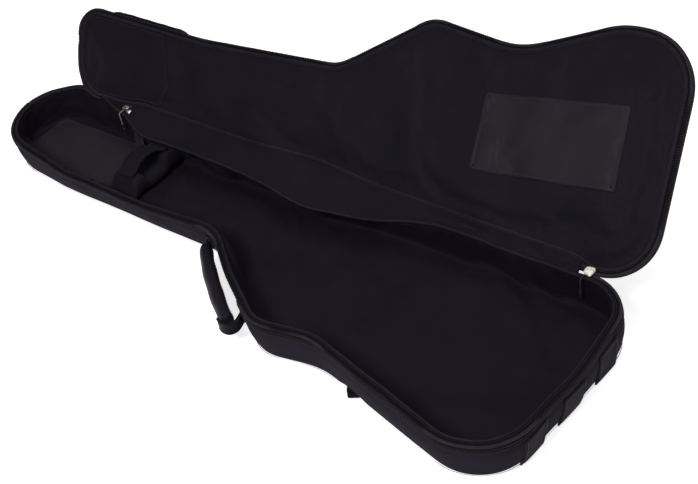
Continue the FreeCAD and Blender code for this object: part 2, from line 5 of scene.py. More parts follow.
import bmesh
import bpy
import numpy as np
from bpy.props import FloatProperty, FloatVectorProperty, PointerProperty
from bpy.types import Operator, Panel, PropertyGroup
from mathutils import Matrix, Vector
from mathutils.bvhtree import BVHTree
from mathutils.geometry import delaunay_2d_cdt


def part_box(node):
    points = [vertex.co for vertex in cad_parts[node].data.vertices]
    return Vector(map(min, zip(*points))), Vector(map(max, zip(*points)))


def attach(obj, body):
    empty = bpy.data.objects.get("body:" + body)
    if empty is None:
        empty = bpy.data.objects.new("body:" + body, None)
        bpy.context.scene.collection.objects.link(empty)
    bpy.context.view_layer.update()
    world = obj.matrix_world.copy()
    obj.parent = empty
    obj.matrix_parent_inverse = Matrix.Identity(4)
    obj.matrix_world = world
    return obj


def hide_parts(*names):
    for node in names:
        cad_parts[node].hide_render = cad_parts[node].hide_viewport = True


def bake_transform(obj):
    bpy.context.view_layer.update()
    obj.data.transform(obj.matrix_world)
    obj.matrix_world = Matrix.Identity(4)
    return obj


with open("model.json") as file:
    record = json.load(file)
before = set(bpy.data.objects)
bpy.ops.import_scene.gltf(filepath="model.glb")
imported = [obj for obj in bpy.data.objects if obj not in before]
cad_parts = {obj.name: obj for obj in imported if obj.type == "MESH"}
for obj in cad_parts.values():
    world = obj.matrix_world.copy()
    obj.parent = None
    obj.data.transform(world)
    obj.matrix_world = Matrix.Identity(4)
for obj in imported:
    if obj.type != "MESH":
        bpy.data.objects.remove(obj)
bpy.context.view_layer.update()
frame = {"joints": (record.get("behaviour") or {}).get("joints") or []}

bl_info = {
    "name": "Padded gig bag",
    "version": (1, 0, 0),
    "blender": (4, 5, 0),
    "location": "3D View > Sidebar > Gig bag",
    "description": "Builds the cloth, padding, zippers, handle and straps of an open gig bag",
    "category": "Object",
}

MM = 0.001
JOINTS = {joint["name"]: joint for joint in frame["joints"]}
HINGE = Vector(JOINTS["lid_hinge"]["pos_m"])
OPEN_ANGLE = math.radians(max(JOINTS["lid_hinge"]["range_deg"]))
RIM_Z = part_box("tray_zipper_tape")[1].z
FLOOR_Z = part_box("floor_lining")[1].z
ZIP_HEAD_X = JOINTS["head_pull_swing"]["pos_m"][0]
ZIP_END_X = JOINTS["end_pull_swing"]["pos_m"][0]
PIPING_INSET = 11 * MM
HANDLE_END = (0.0945, -0.1033)  # where the handle's far anchor sits, seen from above
BUMPER_GRID = 25  # points across and up each wear pad on the end wall
STRAP_Z = 4.3 * MM  # half way up the folded shoulder straps
CORD_RADIUS = 1.2 * MM
CLOTH_IOR = 1.30
SHEEN_TINT = (0.74, 0.66, 0.84, 1.0)
LID_EDGE_Z = HINGE.z + 0.3 * MM

# Corners of the two outlines seen from above: x, y and the radius that rounds each.
TRAY_CORNERS = [(-0.624, 0.183, 0.080), (-0.624, 0.031, 0.090), (-0.450, 0.0165, 0.300),
                (-0.036, 0.0150, 0.110), (0.150, -0.129, 0.055), (0.250, -0.109, 0.140),
                (0.587, -0.189, 0.080), (0.626, 0.183, 0.075)]
LID_CORNERS = [(-0.582, 0.183, 0.100), (-0.6215, 0.019, 0.040), (-0.300, 0.019, 0.300),
               (0.000, -0.006, 0.060), (0.146, -0.121, 0.055), (0.312, -0.107, 0.140),
               (0.463, -0.178, 0.120), (0.586, -0.181, 0.094), (0.630, 0.183, 0.075)]

# How far the top of the padded wall leans outwards, along the side away from the hinge.
LEAN_X = [-0.630, -0.560, -0.480, -0.400, -0.200, -0.060, 0.060, 0.160, 0.300, 0.450, 0.560, 0.640]
LEAN_OUT = [0.002, 0.012, 0.018, 0.027, 0.028, 0.020, 0.018, 0.010, 0.009, 0.011, 0.011, 0.014]


class BagSizes(PropertyGroup):
    """Sizes that shape the cloth and padding."""
    wall_belly: FloatProperty(
        name="Wall belly", description="How far the padded wall swells half way up",
        default=0.0035, unit="LENGTH")
    hinge_bow: FloatProperty(
        name="Hinge bow", description="How far the soft wall on the hinge side bows into the bag",
        default=0.030, unit="LENGTH")
    lid_crown: FloatProperty(
        name="Lid crown", description="How far the padded lid swells in its middle",
        default=0.006, unit="LENGTH")
    piping: FloatProperty(
        name="Piping", description="Radius of the piping", default=0.0019, unit="LENGTH")
    tooth_pitch: FloatProperty(
        name="Tooth pitch", description="Distance from tooth to tooth along the zipper",
        default=0.0038, unit="LENGTH")
    stitch: FloatProperty(
        name="Stitch", description="Length of one stitch", default=0.0036, unit="LENGTH")
    wrinkle_growth: FloatProperty(
        name="Spare lining", description="Share by which the lining is cut larger than its frame",
        default=0.012)
    sample_step: FloatProperty(
        name="Sample step", description="Distance between the points along the bag's edge",
        default=0.006, unit="LENGTH")
    weave_per_metre: FloatProperty(
        name="Weave", description="Threads of the outer cloth in one metre", default=900.0)


class BagColours(PropertyGroup):
    """Colours of the bag's finishes."""
    shell: FloatVectorProperty(
        name="Outer cloth", description="Woven outer cloth", subtype="COLOR",
        default=(0.0222, 0.0182, 0.0274), min=0, max=1)
    lining: FloatVectorProperty(
        name="Lining", description="Smooth inner lining", subtype="COLOR",
        default=(0.0112, 0.0093, 0.0150), min=0, max=1)
    wear: FloatVectorProperty(
        name="Wear cloth", description="Coated wear patches", subtype="COLOR",
        default=(0.0186, 0.0158, 0.0208), min=0, max=1)
    piping: FloatVectorProperty(
        name="Piping", description="Folded binding over a cord", subtype="COLOR",
        default=(0.0180, 0.0156, 0.0210), min=0, max=1)
    tape: FloatVectorProperty(
        name="Zipper tape", description="Knitted zipper tape", subtype="COLOR",
        default=(0.0070, 0.0060, 0.0090), min=0, max=1)
    coil: FloatVectorProperty(
        name="Zipper coil", description="Moulded zipper teeth", subtype="COLOR",
        default=(0.0180, 0.0158, 0.0212), min=0, max=1)
    webbing: FloatVectorProperty(
        name="Webbing", description="Ribbed webbing", subtype="COLOR",
        default=(0.0085, 0.0074, 0.0105), min=0, max=1)
    grip: FloatVectorProperty(
        name="Grip", description="Padded handle cover", subtype="COLOR",
        default=(0.0112, 0.0094, 0.0135), min=0, max=1)
    thread: FloatVectorProperty(
        name="Thread", description="Sewing thread", subtype="COLOR",
        default=(0.0260, 0.0235, 0.0300), min=0, max=1)
    metal: FloatVectorProperty(
        name="Metal", description="Nickel of the sliders", subtype="COLOR",
        default=(0.80, 0.78, 0.72), min=0, max=1)
    plastic: FloatVectorProperty(
        name="Plastic", description="Moulded buckles", subtype="COLOR",
        default=(0.018, 0.018, 0.020), min=0, max=1)


def sizes():
    return bpy.context.scene.bag_sizes


def colours():
    return bpy.context.scene.bag_colours


# ---------------------------------------------------------------- finishes

class Nodes:
    """A material's node tree, with short calls to add and join its nodes."""

    def __init__(self, name):
        self.material = bpy.data.materials.new(name)
        self.material.use_nodes = True
        self.tree = self.material.node_tree
        self.shader = self.tree.nodes["Principled BSDF"]
        self.place = self.add("ShaderNodeTexCoord").outputs["Object"]

    def add(self, kind, inputs=None, **values):
        node = self.tree.nodes.new(kind)
        for key, value in values.items():
            setattr(node, key, value)
        for key, value in (inputs or {}).items():
            if isinstance(value, bpy.types.NodeSocket):
                self.tree.links.new(value, node.inputs[key])
            else:
                node.inputs[key].default_value = value
        return node

    def math(self, operation, a, b=0.0):
        return self.add("ShaderNodeMath", {0: a, 1: b}, operation=operation).outputs[0]

    def noise(self, scale, detail=3.0, roughness=0.5, stretch=None):
        place = self.place
        if stretch:
            place = self.add("ShaderNodeMapping", {"Vector": place, "Scale": stretch}).outputs[0]
        return self.add("ShaderNodeTexNoise", {"Vector": place, "Scale": scale, "Detail": detail,
                                               "Roughness": roughness}).outputs["Fac"]

    def ramp(self, value, low, high, start=0.0, end=1.0):
        inputs = {0: value, 1: low, 2: high, 3: start, 4: end}
        return self.add("ShaderNodeMapRange", inputs).outputs[0]

    def mix(self, factor, first, second):
        node = self.add("ShaderNodeMix", data_type="RGBA")
        for key, value in ((0, factor), (6, first), (7, second)):
            if isinstance(value, bpy.types.NodeSocket):
                self.tree.links.new(value, node.inputs[key])
            else:
                node.inputs[key].default_value = value
        return node.outputs[2]

    def weave(self, threads):
        """Height of a plain weave on a surface that faces any way."""
        axes = self.add("ShaderNodeSeparateXYZ", {0: self.place}).outputs
        waves = [self.math("SINE", self.math("MULTIPLY", axis, threads * math.pi)) for axis in axes]
        pairs = [self.math("MULTIPLY", waves[i], waves[(i + 1) % 3]) for i in range(3)]
        return self.math("ADD", self.math("ADD", pairs[0], pairs[1]), pairs[2])

    def bump(self, height, strength, distance, below=None):
        inputs = {"Height": height, "Strength": strength, "Distance": distance}
        if below is not None:
            inputs["Normal"] = below
        return self.add("ShaderNodeBump", inputs).outputs[0]

    def join(self, socket, value):
        self.tree.links.new(value, self.shader.inputs[socket])

    def fix(self, values):
        for socket, value in values.items():
            self.shader.inputs[socket].default_value = value


def shade(colour, factor):
    return tuple(min(1.0, c * factor) for c in colour) + (1.0,)


def cloth(name, colour, rough, threads, weave_depth, sheen=0.15, mottle=0.25, crease=0.0, gloss=0.5,
          lint=0.0):
    """Woven cloth: threads, a soft uneven dye, dust in the hollows and fine creases."""
    n = Nodes(name)
    patches = n.noise(9.0, 4.0, 0.6)
    fine = n.noise(160.0, 3.0, 0.65)
    weave = n.weave(threads)
    tone = n.mix(n.ramp(patches, 0.3, 0.7), shade(colour, 1 - mottle), shade(colour, 1 + mottle))
    tone = n.mix(n.ramp(weave, -1.0, 1.0, 0.0, 0.35), tone, shade(colour, 0.55))
    if lint:
        specks = n.ramp(n.noise(420.0, 2.0, 0.5), 0.70, 0.76)
        tone = n.mix(n.math("MULTIPLY", specks, lint), tone, shade(colour, 4.0))
    n.join("Base Color", tone)
    n.join("Roughness", n.ramp(n.math("ADD", fine, patches), 0.7, 1.3, rough - 0.08, rough + 0.08))
    normal = n.bump(weave, 0.35, weave_depth)
    normal = n.bump(fine, 0.25, 0.0006, normal)
    if crease:
        folds = n.noise(22.0, 5.0, 0.62, (1.0, 1.6, 1.6))
        normal = n.bump(folds, crease, 0.006, normal)
    n.join("Normal", normal)
    n.fix({"Sheen Weight": sheen, "Sheen Roughness": 0.45, "Sheen Tint": SHEEN_TINT,
           "Specular IOR Level": gloss, "IOR": CLOTH_IOR})
    return n.material


def ribbed(name, colour, rough, pitch, sheen=0.1, gloss=0.5):
    """Webbing or tape whose ribs run across any direction, with fuzzy threads."""
    n = Nodes(name)
    fine = n.noise(300.0, 3.0, 0.6)
    weave = n.weave(1.0 / pitch)
    tone = n.mix(n.ramp(weave, -1.0, 1.0), shade(colour, 0.7), shade(colour, 1.35))
    tone = n.mix(n.ramp(n.noise(14.0, 3.0), 0.35, 0.7, 0.0, 0.4), tone, shade(colour, 1.6))
    n.join("Base Color", tone)
    n.join("Roughness", n.ramp(fine, 0.3, 0.7, rough - 0.1, rough + 0.08))
    n.join("Normal", n.bump(fine, 0.2, 0.0004, n.bump(weave, 0.5, pitch * 0.4)))
    n.fix({"Sheen Weight": sheen, "Sheen Roughness": 0.5, "Specular IOR Level": gloss,
           "IOR": CLOTH_IOR})
    return n.material


def moulded(name, colour, rough, gloss=0.5):
    """Moulded plastic with a fine texture and scuffed edges."""
    n = Nodes(name)
    fine = n.noise(900.0, 2.0)
    scuff = n.ramp(n.noise(60.0, 5.0, 0.7), 0.5, 0.75)
    n.join("Base Color", n.mix(scuff, shade(colour, 1.0), shade(colour, 1.8)))
    n.join("Roughness", n.math("ADD", n.ramp(scuff, 0.0, 1.0, rough, rough + 0.15),
                               n.ramp(fine, 0.3, 0.7, -0.03, 0.03)))
    n.join("Normal", n.bump(fine, 0.15, 0.0002))
    n.fix({"Specular IOR Level": gloss})
    return n.material


def nickel(name, colour):
    """Polished cast metal with fine scratches and a worn, slightly yellow bloom."""
    n = Nodes(name)
    scratches = n.noise(240.0, 4.0, 0.7, (1.0, 7.0, 1.0))
    bloom = n.ramp(n.noise(120.0, 3.0), 0.4, 0.7)
    n.join("Base Color", n.mix(bloom, shade(colour, 1.0), shade(colour, 0.82)))
    n.join("Roughness", n.ramp(n.math("ADD", scratches, bloom), 0.4, 1.4, 0.20, 0.38))
    n.join("Normal", n.bump(scratches, 0.08, 0.0002))
    n.fix({"Metallic": 0.85})
    return n.material


def painted_glint(name, colour):
    """Pale paint over cast metal: the near-white colour is a painted highlight for the glare on
    polished nickel, with a faint bloom and small chips.
    """
    n = Nodes(name)
    bloom = n.ramp(n.noise(150.0, 4.0, 0.6), 0.35, 0.7)
    n.join("Base Color", n.mix(bloom, shade(colour, 1.0), shade(colour, 0.86)))
    n.join("Roughness", n.ramp(bloom, 0.0, 1.0, 0.28, 0.42))
    n.join("Normal", n.bump(n.noise(420.0, 3.0), 0.10, 0.0002))
    n.fix({"Metallic": 0.15})
    return n.material


FINISHES = {}


def finish(name):
    """The material of a record slot or of the thread, made once."""
    if name not in FINISHES:
        c, threads = colours(), sizes().weave_per_metre
        makers = {
            "shell_fabric": lambda: cloth(name, c.shell, 0.84, threads, 0.0005, sheen=0.012,
                                          crease=0.50, gloss=0.06, lint=0.25),
            "lining_fabric": lambda: cloth(name, c.lining, 0.50, threads * 1.6, 0.0001, sheen=0.015,
                                           mottle=0.15, crease=0.30, gloss=0.06),
            "wear_cloth": lambda: cloth(name, c.wear, 0.42, threads * 0.8, 0.0002, sheen=0.015,
                                        mottle=0.12, crease=0.15, gloss=0.13),
            "bumper_cloth": lambda: cloth(name, shade(c.wear, 0.95)[:3], 0.72, threads * 0.8,
                                          0.0003, sheen=0.01, mottle=0.15, crease=0.2, gloss=0.07),
            # end slider: its near-white colour is a painted highlight for the glare on polished
            # nickel
            "slider_painted_glint": lambda: painted_glint(name, (0.86, 0.84, 0.74)),
            # lid head patch: real wear cloth, with its colour brought down to the lining's tone as
            # painted shade for how light falls on it
            "head_wear_painted_shade": lambda: cloth(name, shade(c.lining, 0.98)[:3], 0.46, threads * 0.8, 0.0002,
                                       sheen=0.01, mottle=0.12, crease=0.20, gloss=0.07),
            "piping": lambda: cloth(name, c.piping, 0.42, threads * 1.3, 0.0004, sheen=0.03,
                                    gloss=0.10),
            "cradle_cloth": lambda: cloth(name, c.lining, 0.80, threads * 1.2, 0.0005, sheen=0.06,
                                          gloss=0.12, lint=0.4),
            "hook_and_loop": lambda: cloth(name, c.webbing, 0.85, threads * 0.9, 0.0007, sheen=0.10,
                                           gloss=0.12, lint=0.5),
            "grip_cloth": lambda: cloth(name, c.grip, 0.50, threads, 0.0003, sheen=0.03,
                                        mottle=0.2, crease=0.1, gloss=0.18),
            "strap_mesh": lambda: cloth(name, c.shell, 0.80, threads * 0.45, 0.0012, sheen=0.06,
                                        gloss=0.2),
            "zipper_tape": lambda: ribbed(name, c.tape, 0.62, 1.1 * MM, sheen=0.002, gloss=0.04),
            "webbing": lambda: ribbed(name, c.webbing, 0.55, 1.6 * MM, sheen=0.02, gloss=0.10),
            "pull_cord": lambda: ribbed(name, shade(c.webbing, 1.6)[:3], 0.6, 1.2 * MM),
            "pale_cord": lambda: ribbed(name, (0.20, 0.18, 0.17), 0.6, 1.2 * MM),
            # floor patch: real wear cloth, with its colour lifted 1.35 times as painted light,
            # because it sits in shade
            "floor_wear_painted_light": lambda: cloth(name, shade(c.wear, 1.35)[:3], 0.46, threads * 0.8, 0.0002,
                                        sheen=0.01, mottle=0.12, crease=0.15, gloss=0.08),
            "head_slider_metal": lambda: nickel(name, (0.34, 0.33, 0.31)),
            "zipper_coil": lambda: moulded(name, c.coil, 0.45, 0.08),
            "buckle_plastic": lambda: moulded(name, c.plastic, 0.42),
            "slider_metal": lambda: nickel(name, c.metal),
            "thread": lambda: ribbed(name, c.thread, 0.45, 0.7 * MM),
            "bumper_thread": lambda: ribbed(name, shade(c.thread, 1.7)[:3], 0.45, 0.7 * MM),
        }
        FINISHES[name] = makers[name]()
    return FINISHES[name]


# ---------------------------------------------------------------- meshes

def smooth_step(low, high, value):
    """0 at low and 1 at high, with soft ends; low may be the larger of the two."""
    t = np.clip((value - low) / (high - low), 0.0, 1.0)
    return t * t * (3 - 2 * t)


def window(rise_from, rise_to, fall_from, fall_to, value):
    """1 between two soft ends and 0 beyond them."""
    return smooth_step(rise_from, rise_to, value) * (1 - smooth_step(fall_from, fall_to, value))


def unit(rows):
    """Each row scaled to length 1."""
    return rows / np.linalg.norm(rows, axis=1)[:, None]


def tangents(loop):
    """Direction of a closed line at each of its points."""
    return unit(np.roll(loop, -1, 0) - np.roll(loop, 1, 0))


def make_object(name, vertices, faces, slot_name):
    """A smooth mesh object whose faces all turn outwards, in the finish of a slot."""
    mesh = bpy.data.meshes.new(name)
    mesh.from_pydata([tuple(v) for v in vertices], [], faces)
    mesh.validate()
    bm = bmesh.new()
    bm.from_mesh(mesh)
    bmesh.ops.recalc_face_normals(bm, faces=bm.faces)
    bm.to_mesh(mesh)
    bm.free()
    mesh.shade_smooth()
    piece = bpy.data.objects.new(name, mesh)
    bpy.context.scene.collection.objects.link(piece)
    mesh.materials.append(finish(slot_name))
    return piece


def grid_faces(rows, columns, closed_rows, closed_columns, start=0):
    """Quads of a grid of points, joined end to end in the directions that are closed."""
    faces = []
    for i in range(rows if closed_rows else rows - 1):
        for j in range(columns if closed_columns else columns - 1):
            a, b = i, (i + 1) % rows
            c, d = j, (j + 1) % columns
            faces.append((start + a * columns + c, start + b * columns + c,
                          start + b * columns + d, start + a * columns + d))
    return faces


def grid_object(name, points, slot_name, closed_rows=False, closed_columns=False, caps=False):
    """A surface through points[row, column]; caps closes the two end rows of a closed profile."""
    rows, columns = points.shape[:2]
    faces = grid_faces(rows, columns, closed_rows, closed_columns)
    if caps:
        faces.append(tuple(range(columns)))
        faces.append(tuple(reversed(range((rows - 1) * columns, rows * columns))))
    return make_object(name, points.reshape(-1, 3), faces, slot_name)


def tube_points(line, radius, sides=10, closed=False, flatten=1.0, up=(0, 0, 1)):
    """Rings of a round or oval tube along a line of points."""
    line = np.asarray(line, float)
    run = tangents(line) if closed else unit(np.gradient(line, axis=0))
    side = unit(np.cross(run, np.asarray(up, float)))
    top = np.cross(side, run)
    radius = np.broadcast_to(np.asarray(radius, float), (len(line),))
    turn = np.linspace(0, 2 * np.pi, sides, endpoint=False)
    ring = (side[:, None] * np.cos(turn)[None, :, None]
            + top[:, None] * (flatten * np.sin(turn))[None, :, None])
    return line[:, None] + ring * radius[:, None, None]


def resample(line, step, closed=False):
    """Evenly spaced points along a line, about one step apart, with all its columns."""
    line = np.asarray(line, float)
    if closed:
        line = np.vstack([line, line[:1]])
    reach = np.concatenate([[0], np.cumsum(np.linalg.norm(np.diff(line, axis=0), axis=1))])
    count = max(2, int(round(reach[-1] / step)))
    at = np.linspace(0, reach[-1], count + 1)
    if closed:
        at = at[:-1]
    return np.stack([np.interp(at, reach, line[:, k]) for k in range(line.shape[1])], 1)


def together(name, parts, slot_name):
    """One object from many small grids: each part is (points, closed rows, closed columns)."""
    vertices, faces = [], []
    for points, closed_rows, closed_columns in parts:
        rows, columns = points.shape[:2]
        start = len(vertices)
        faces += grid_faces(rows, columns, closed_rows, closed_columns, start)
        if closed_columns and not closed_rows:
            faces.append(tuple(start + k for k in range(columns)))
            faces.append(tuple(start + k for k in range(rows * columns - 1,
                                                        (rows - 1) * columns - 1, -1)))
        vertices += [tuple(p) for p in points.reshape(-1, 3)]
    return make_object(name, vertices, faces, slot_name)


def solidify(piece, thickness, offset):
    """Gives a sheet its thickness, inwards with an offset of -1."""
    modifier = piece.modifiers.new("Thickness", "SOLIDIFY")
    modifier.thickness = thickness
    modifier.offset = offset
    apply_modifiers(piece)


def subdivide(piece):
    """Rounds a piece by one subdivision."""
    modifier = piece.modifiers.new("Rounding", "SUBSURF")
    modifier.levels = 1
    modifier.render_levels = 1
    apply_modifiers(piece)


def apply_modifiers(piece):
    with bpy.context.temp_override(object=piece, active_object=piece, selected_objects=[piece]):
        for modifier in list(piece.modifiers):
            bpy.ops.object.modifier_apply(modifier=modifier.name)


def coordinates(piece):
    values = np.empty(len(piece.data.vertices) * 3)
    piece.data.vertices.foreach_get("co", values)
    return values.reshape(-1, 3)


def set_coordinates(piece, values):
    piece.data.vertices.foreach_set("co", np.asarray(values, float).ravel())
    piece.data.update()


def settle(piece, held, growth, cap, frames=20, pressure=0.0, stiffness=12.0, bending=0.3):
    """Lets cloth settle: held is how firmly each point is sewn down, cap how far it may move."""
    before = coordinates(piece)
    group = piece.vertex_groups.new(name="Sewn")
    for index in np.nonzero(held > 0)[0]:
        group.add([int(index)], float(held[index]), "REPLACE")
    modifier = piece.modifiers.new("Cloth", "CLOTH")
    cloth_settings = modifier.settings
    cloth_settings.quality = 6
    cloth_settings.mass = 0.15
    cloth_settings.tension_stiffness = stiffness
    cloth_settings.compression_stiffness = stiffness
    cloth_settings.bending_stiffness = bending
    cloth_settings.air_damping = 2.0
    cloth_settings.shrink_min = -growth
    cloth_settings.vertex_group_mass = group.name
    cloth_settings.effector_weights.gravity = 0.0
    if pressure:
        cloth_settings.use_pressure = True
        cloth_settings.uniform_pressure_force = pressure
    modifier.collision_settings.use_collision = False
    scene = bpy.context.scene
    modifier.point_cache.frame_start = 1
    modifier.point_cache.frame_end = frames
    for number in range(1, frames + 1):
        scene.frame_set(number)
    shape = piece.evaluated_get(bpy.context.evaluated_depsgraph_get())
    after = np.empty(len(piece.data.vertices) * 3)
    shape.data.vertices.foreach_get("co", after)
    after = after.reshape(-1, 3)
    piece.modifiers.clear()
    scene.frame_set(1)
    move = np.nan_to_num(after - before)
    far = np.linalg.norm(move, axis=1)
    move *= (np.tanh(far / cap) * cap / np.maximum(far, 1e-9))[:, None]
    set_coordinates(piece, before + move)
    piece.vertex_groups.clear()


# ---------------------------------------------------------------- the edge of the bag

class Edge:
    """Evenly spaced points round an outline, from the zipper's head end round to its other end and
    back along the hinge, with the direction that points out of the bag at each."""

    def __init__(self, corners, step, soft=0.018):
        line = [np.array([ZIP_HEAD_X, HINGE.y])]
        points = [np.array(c[:2]) for c in corners]
        for i, (_, _, radius) in enumerate(corners):
            before = points[i] - points[i - 1]
            after = points[(i + 1) % len(points)] - points[i]
            before /= np.linalg.norm(before)
            after /= np.linalg.norm(after)
            cross = before[0] * after[1] - before[1] * after[0]
            turn = math.acos(float(np.clip(before @ after, -1, 1)))
            reach = radius * math.tan(turn / 2)
            start = points[i] - before * reach
            side = np.array([-before[1], before[0]]) * math.copysign(1, cross)
            centre = start + side * radius
            for part in np.linspace(0, turn, 12):
                line.append(centre - side * radius * math.cos(part)
                            + before * radius * math.sin(part))
        line.append(np.array([ZIP_END_X, HINGE.y]))
        zipped = resample(np.array(line), step)
        hinge = resample(np.array([line[-1], line[0]]), step)
        self.zip_count = len(zipped)
        self.xy = np.vstack([zipped, hinge[1:-1]])
        self.smooth(int(soft / step))
        run = tangents(self.xy)
        self.normal = np.stack([run[:, 1], -run[:, 0]], 1)
        self.x, self.y = self.xy.T
        self.count = len(self.xy)
        steps = np.linalg.norm(np.roll(self.xy, -1, 0) - self.xy, axis=1)
        self.s = np.concatenate([[0], np.cumsum(steps)[:-1]])
        self.shape_wall()

    def smooth(self, reach):
        """Softens the outline over a few points, except along the hinge."""
        if reach < 1:
            return
        weights = np.hanning(2 * reach + 3)[1:-1]
        weights /= weights.sum()
        total = np.zeros_like(self.xy)
        for k, w in enumerate(weights):
            total += w * np.roll(self.xy, k - reach, 0)
        keep = smooth_step(0.0, 0.02, HINGE.y - self.xy[:, 1])[:, None]
        self.xy = self.xy * (1 - keep) + total * keep

    def shape_wall(self):
        """How the soft wall of the tray stands: its lean, belly and height at each point."""
        s = sizes()
        free = smooth_step(0.0, 0.05, HINGE.y - self.y)
        lean = np.interp(self.x, LEAN_X, LEAN_OUT) * free
        lean = lean * (1 - 0.85 * smooth_step(0.50, 0.60, self.x) * smooth_step(0.0, 0.12, self.y))
        bow = window(-0.44, -0.34, 0.14, 0.30, self.x)
        deep = np.exp(-((self.x - 0.045) / 0.09) ** 2)
        self.bow = (1 - free) * s.hinge_bow * (bow + 0.62 * deep)
        flare = window(-0.43, -0.50, -0.56, -0.62, self.x) * (1 - free)
        wave = (np.sin(self.x * 23.0 + 0.6) + 0.6 * np.sin(self.x * 51.0 + self.y * 37.0 + 2.0)
                + 0.4 * np.sin(self.x * 97.0 + self.y * 61.0))
        self.lean = lean - self.bow + flare * 0.017 + 0.0011 * wave * free
        self.belly = s.wall_belly * (1 + 0.45 * np.sin(self.x * 31.0 + self.y * 43.0 + 1.0))
        self.drop = lean ** 2 / (2 * RIM_Z) * 1.2 + self.bow * 0.24 - 0.0008 * wave
        head = smooth_step(-0.44, -0.54, self.x) * smooth_step(0.02, 0.16, self.y)
        self.drop = self.drop - head * 0.005

    def wall(self, out, z, rows=None):
        """Points of the tray's wall at distances out of the outline and heights z."""
        rows = np.arange(self.count) if rows is None else rows
        out, z = np.broadcast_arrays(np.asarray(out, float), np.asarray(z, float))
        up = np.clip(z / RIM_Z, 0, 1.15)
        across = (out[None] + self.lean[rows][:, None] * up[None] ** 1.3
                  + self.belly[rows][:, None] * np.sin(np.pi * np.clip(up, 0, 1))[None])
        flat = self.xy[rows][:, None] + self.normal[rows][:, None] * across[..., None]
        height = z[None] - self.drop[rows][:, None] * up[None] ** 2
        return np.concatenate([flat, height[..., None]], axis=2)

    def flat(self, out, z, rows=None):
        """Points of the closed lid at distances out of the outline and heights z."""
        rows = np.arange(self.count) if rows is None else rows
        out, z = np.broadcast_arrays(np.asarray(out, float), np.asarray(z, float))
        flat = self.xy[rows][:, None] + self.normal[rows][:, None] * out[None][..., None]
        height = np.broadcast_to(z[None], flat.shape[:2])
        return np.concatenate([flat, height[..., None]], axis=2)

    def nearest(self, x, y):
        return int(np.argmin((self.x - x) ** 2 + (self.y - y) ** 2))

    def wall_at(self, s, out, z):
        """Points of the tray's wall at one distance s along the outline."""
        k = int(np.clip(np.searchsorted(self.s, s) - 1, 0, self.count - 2))
        t = (s - self.s[k]) / (self.s[k + 1] - self.s[k])
        before, after = self.wall(out, z, np.array([k, k + 1]))
        return before * (1 - t) + after * t


EDGES = {}


def tray_edge():
    if "tray" not in EDGES:
        EDGES["tray"] = Edge(TRAY_CORNERS, sizes().sample_step)
    return EDGES["tray"]


def lid_edge():
    if "lid" not in EDGES:
        EDGES["lid"] = Edge(LID_CORNERS, sizes().sample_step)
    return EDGES["lid"]


def filled(ring, spacing):
    """Triangles inside a closed ring of 2D points: all points, ring first, and the faces."""
    ring = [Vector(p) for p in ring]
    low = np.min(np.array(ring), 0)
    high = np.max(np.array(ring), 0)
    inner = []
    row = 0
    y = low[1] + spacing * 0.5
    points = np.array(ring)
    while y < high[1]:
        x = low[0] + spacing * (0.5 + 0.5 * (row % 2))
        while x < high[0]:
            if np.min((points[:, 0] - x) ** 2 + (points[:, 1] - y) ** 2) > (0.6 * spacing) ** 2:
                inner.append(Vector((x, y)))
            x += spacing
        y += spacing * 0.866
        row += 1
    count = len(ring)
    result = delaunay_2d_cdt(ring + inner, [(i, (i + 1) % count) for i in range(count)],
                             [], 1, 1e-7)
    return np.array([tuple(v) for v in result[0]]), [tuple(f) for f in result[2]]


def about_hinge(angle):
    """The turn by an angle about the lid's hinge."""
    return (Matrix.Translation(HINGE) @ Matrix.Rotation(angle, 4, "X")
            @ Matrix.Translation(-HINGE))


def opened(piece):
    """Turns a piece built on the shut lid to where the open lid stands."""
    piece.data.transform(about_hinge(-OPEN_ANGLE))
    piece.data.update()


def lid_rise(x, y):
    """How the soft lid bends out of its plane, with folds that cross it."""
    across = np.clip((HINGE.y - y) / 0.30, 0, 1.2)
    bend = 0.004 * np.sin(x * 6.0 + 0.8) * across
    corner = smooth_step(-0.47, -0.60, x) * smooth_step(0.050, 0.130, y)
    bend = bend + 0.010 * corner
    fold = 0.0
    for x0, y0, x1, y1, width, height in LID_FOLDS:
        run = np.array([x1 - x0, y1 - y0])
        length = np.linalg.norm(run)
        run = run / length
        along = (x - x0) * run[0] + (y - y0) * run[1]
        off = (x - x0) * -run[1] + (y - y0) * run[0]
        off = off - 0.010 * np.sin(np.pi * np.clip(along / length, 0, 1))
        ends = window(-0.03, 0.04, length - 0.04, length + 0.03, along)
        fold = fold + height * ends * np.exp(-(off / width) ** 2)
    return bend + fold


# Folds in the lid's lining: start x and y, end x and y, width and height.
LID_FOLDS = [(-0.160, 0.150, 0.130, 0.168, 0.012, -0.0050),
             (-0.080, 0.006, 0.120, 0.135, 0.016, -0.0022),
             (-0.120, 0.120, 0.060, 0.150, 0.010, 0.0030),
             (0.020, 0.060, 0.090, 0.150, 0.014, -0.0020),
             (0.300, 0.150, 0.520, 0.165, 0.012, -0.0030),
             (-0.420, 0.160, -0.250, 0.150, 0.012, -0.0025),
             (0.150, -0.090, 0.200, 0.060, 0.020, 0.0015),
             (0.210, 0.110, 0.330, 0.150, 0.013, 0.0022)]


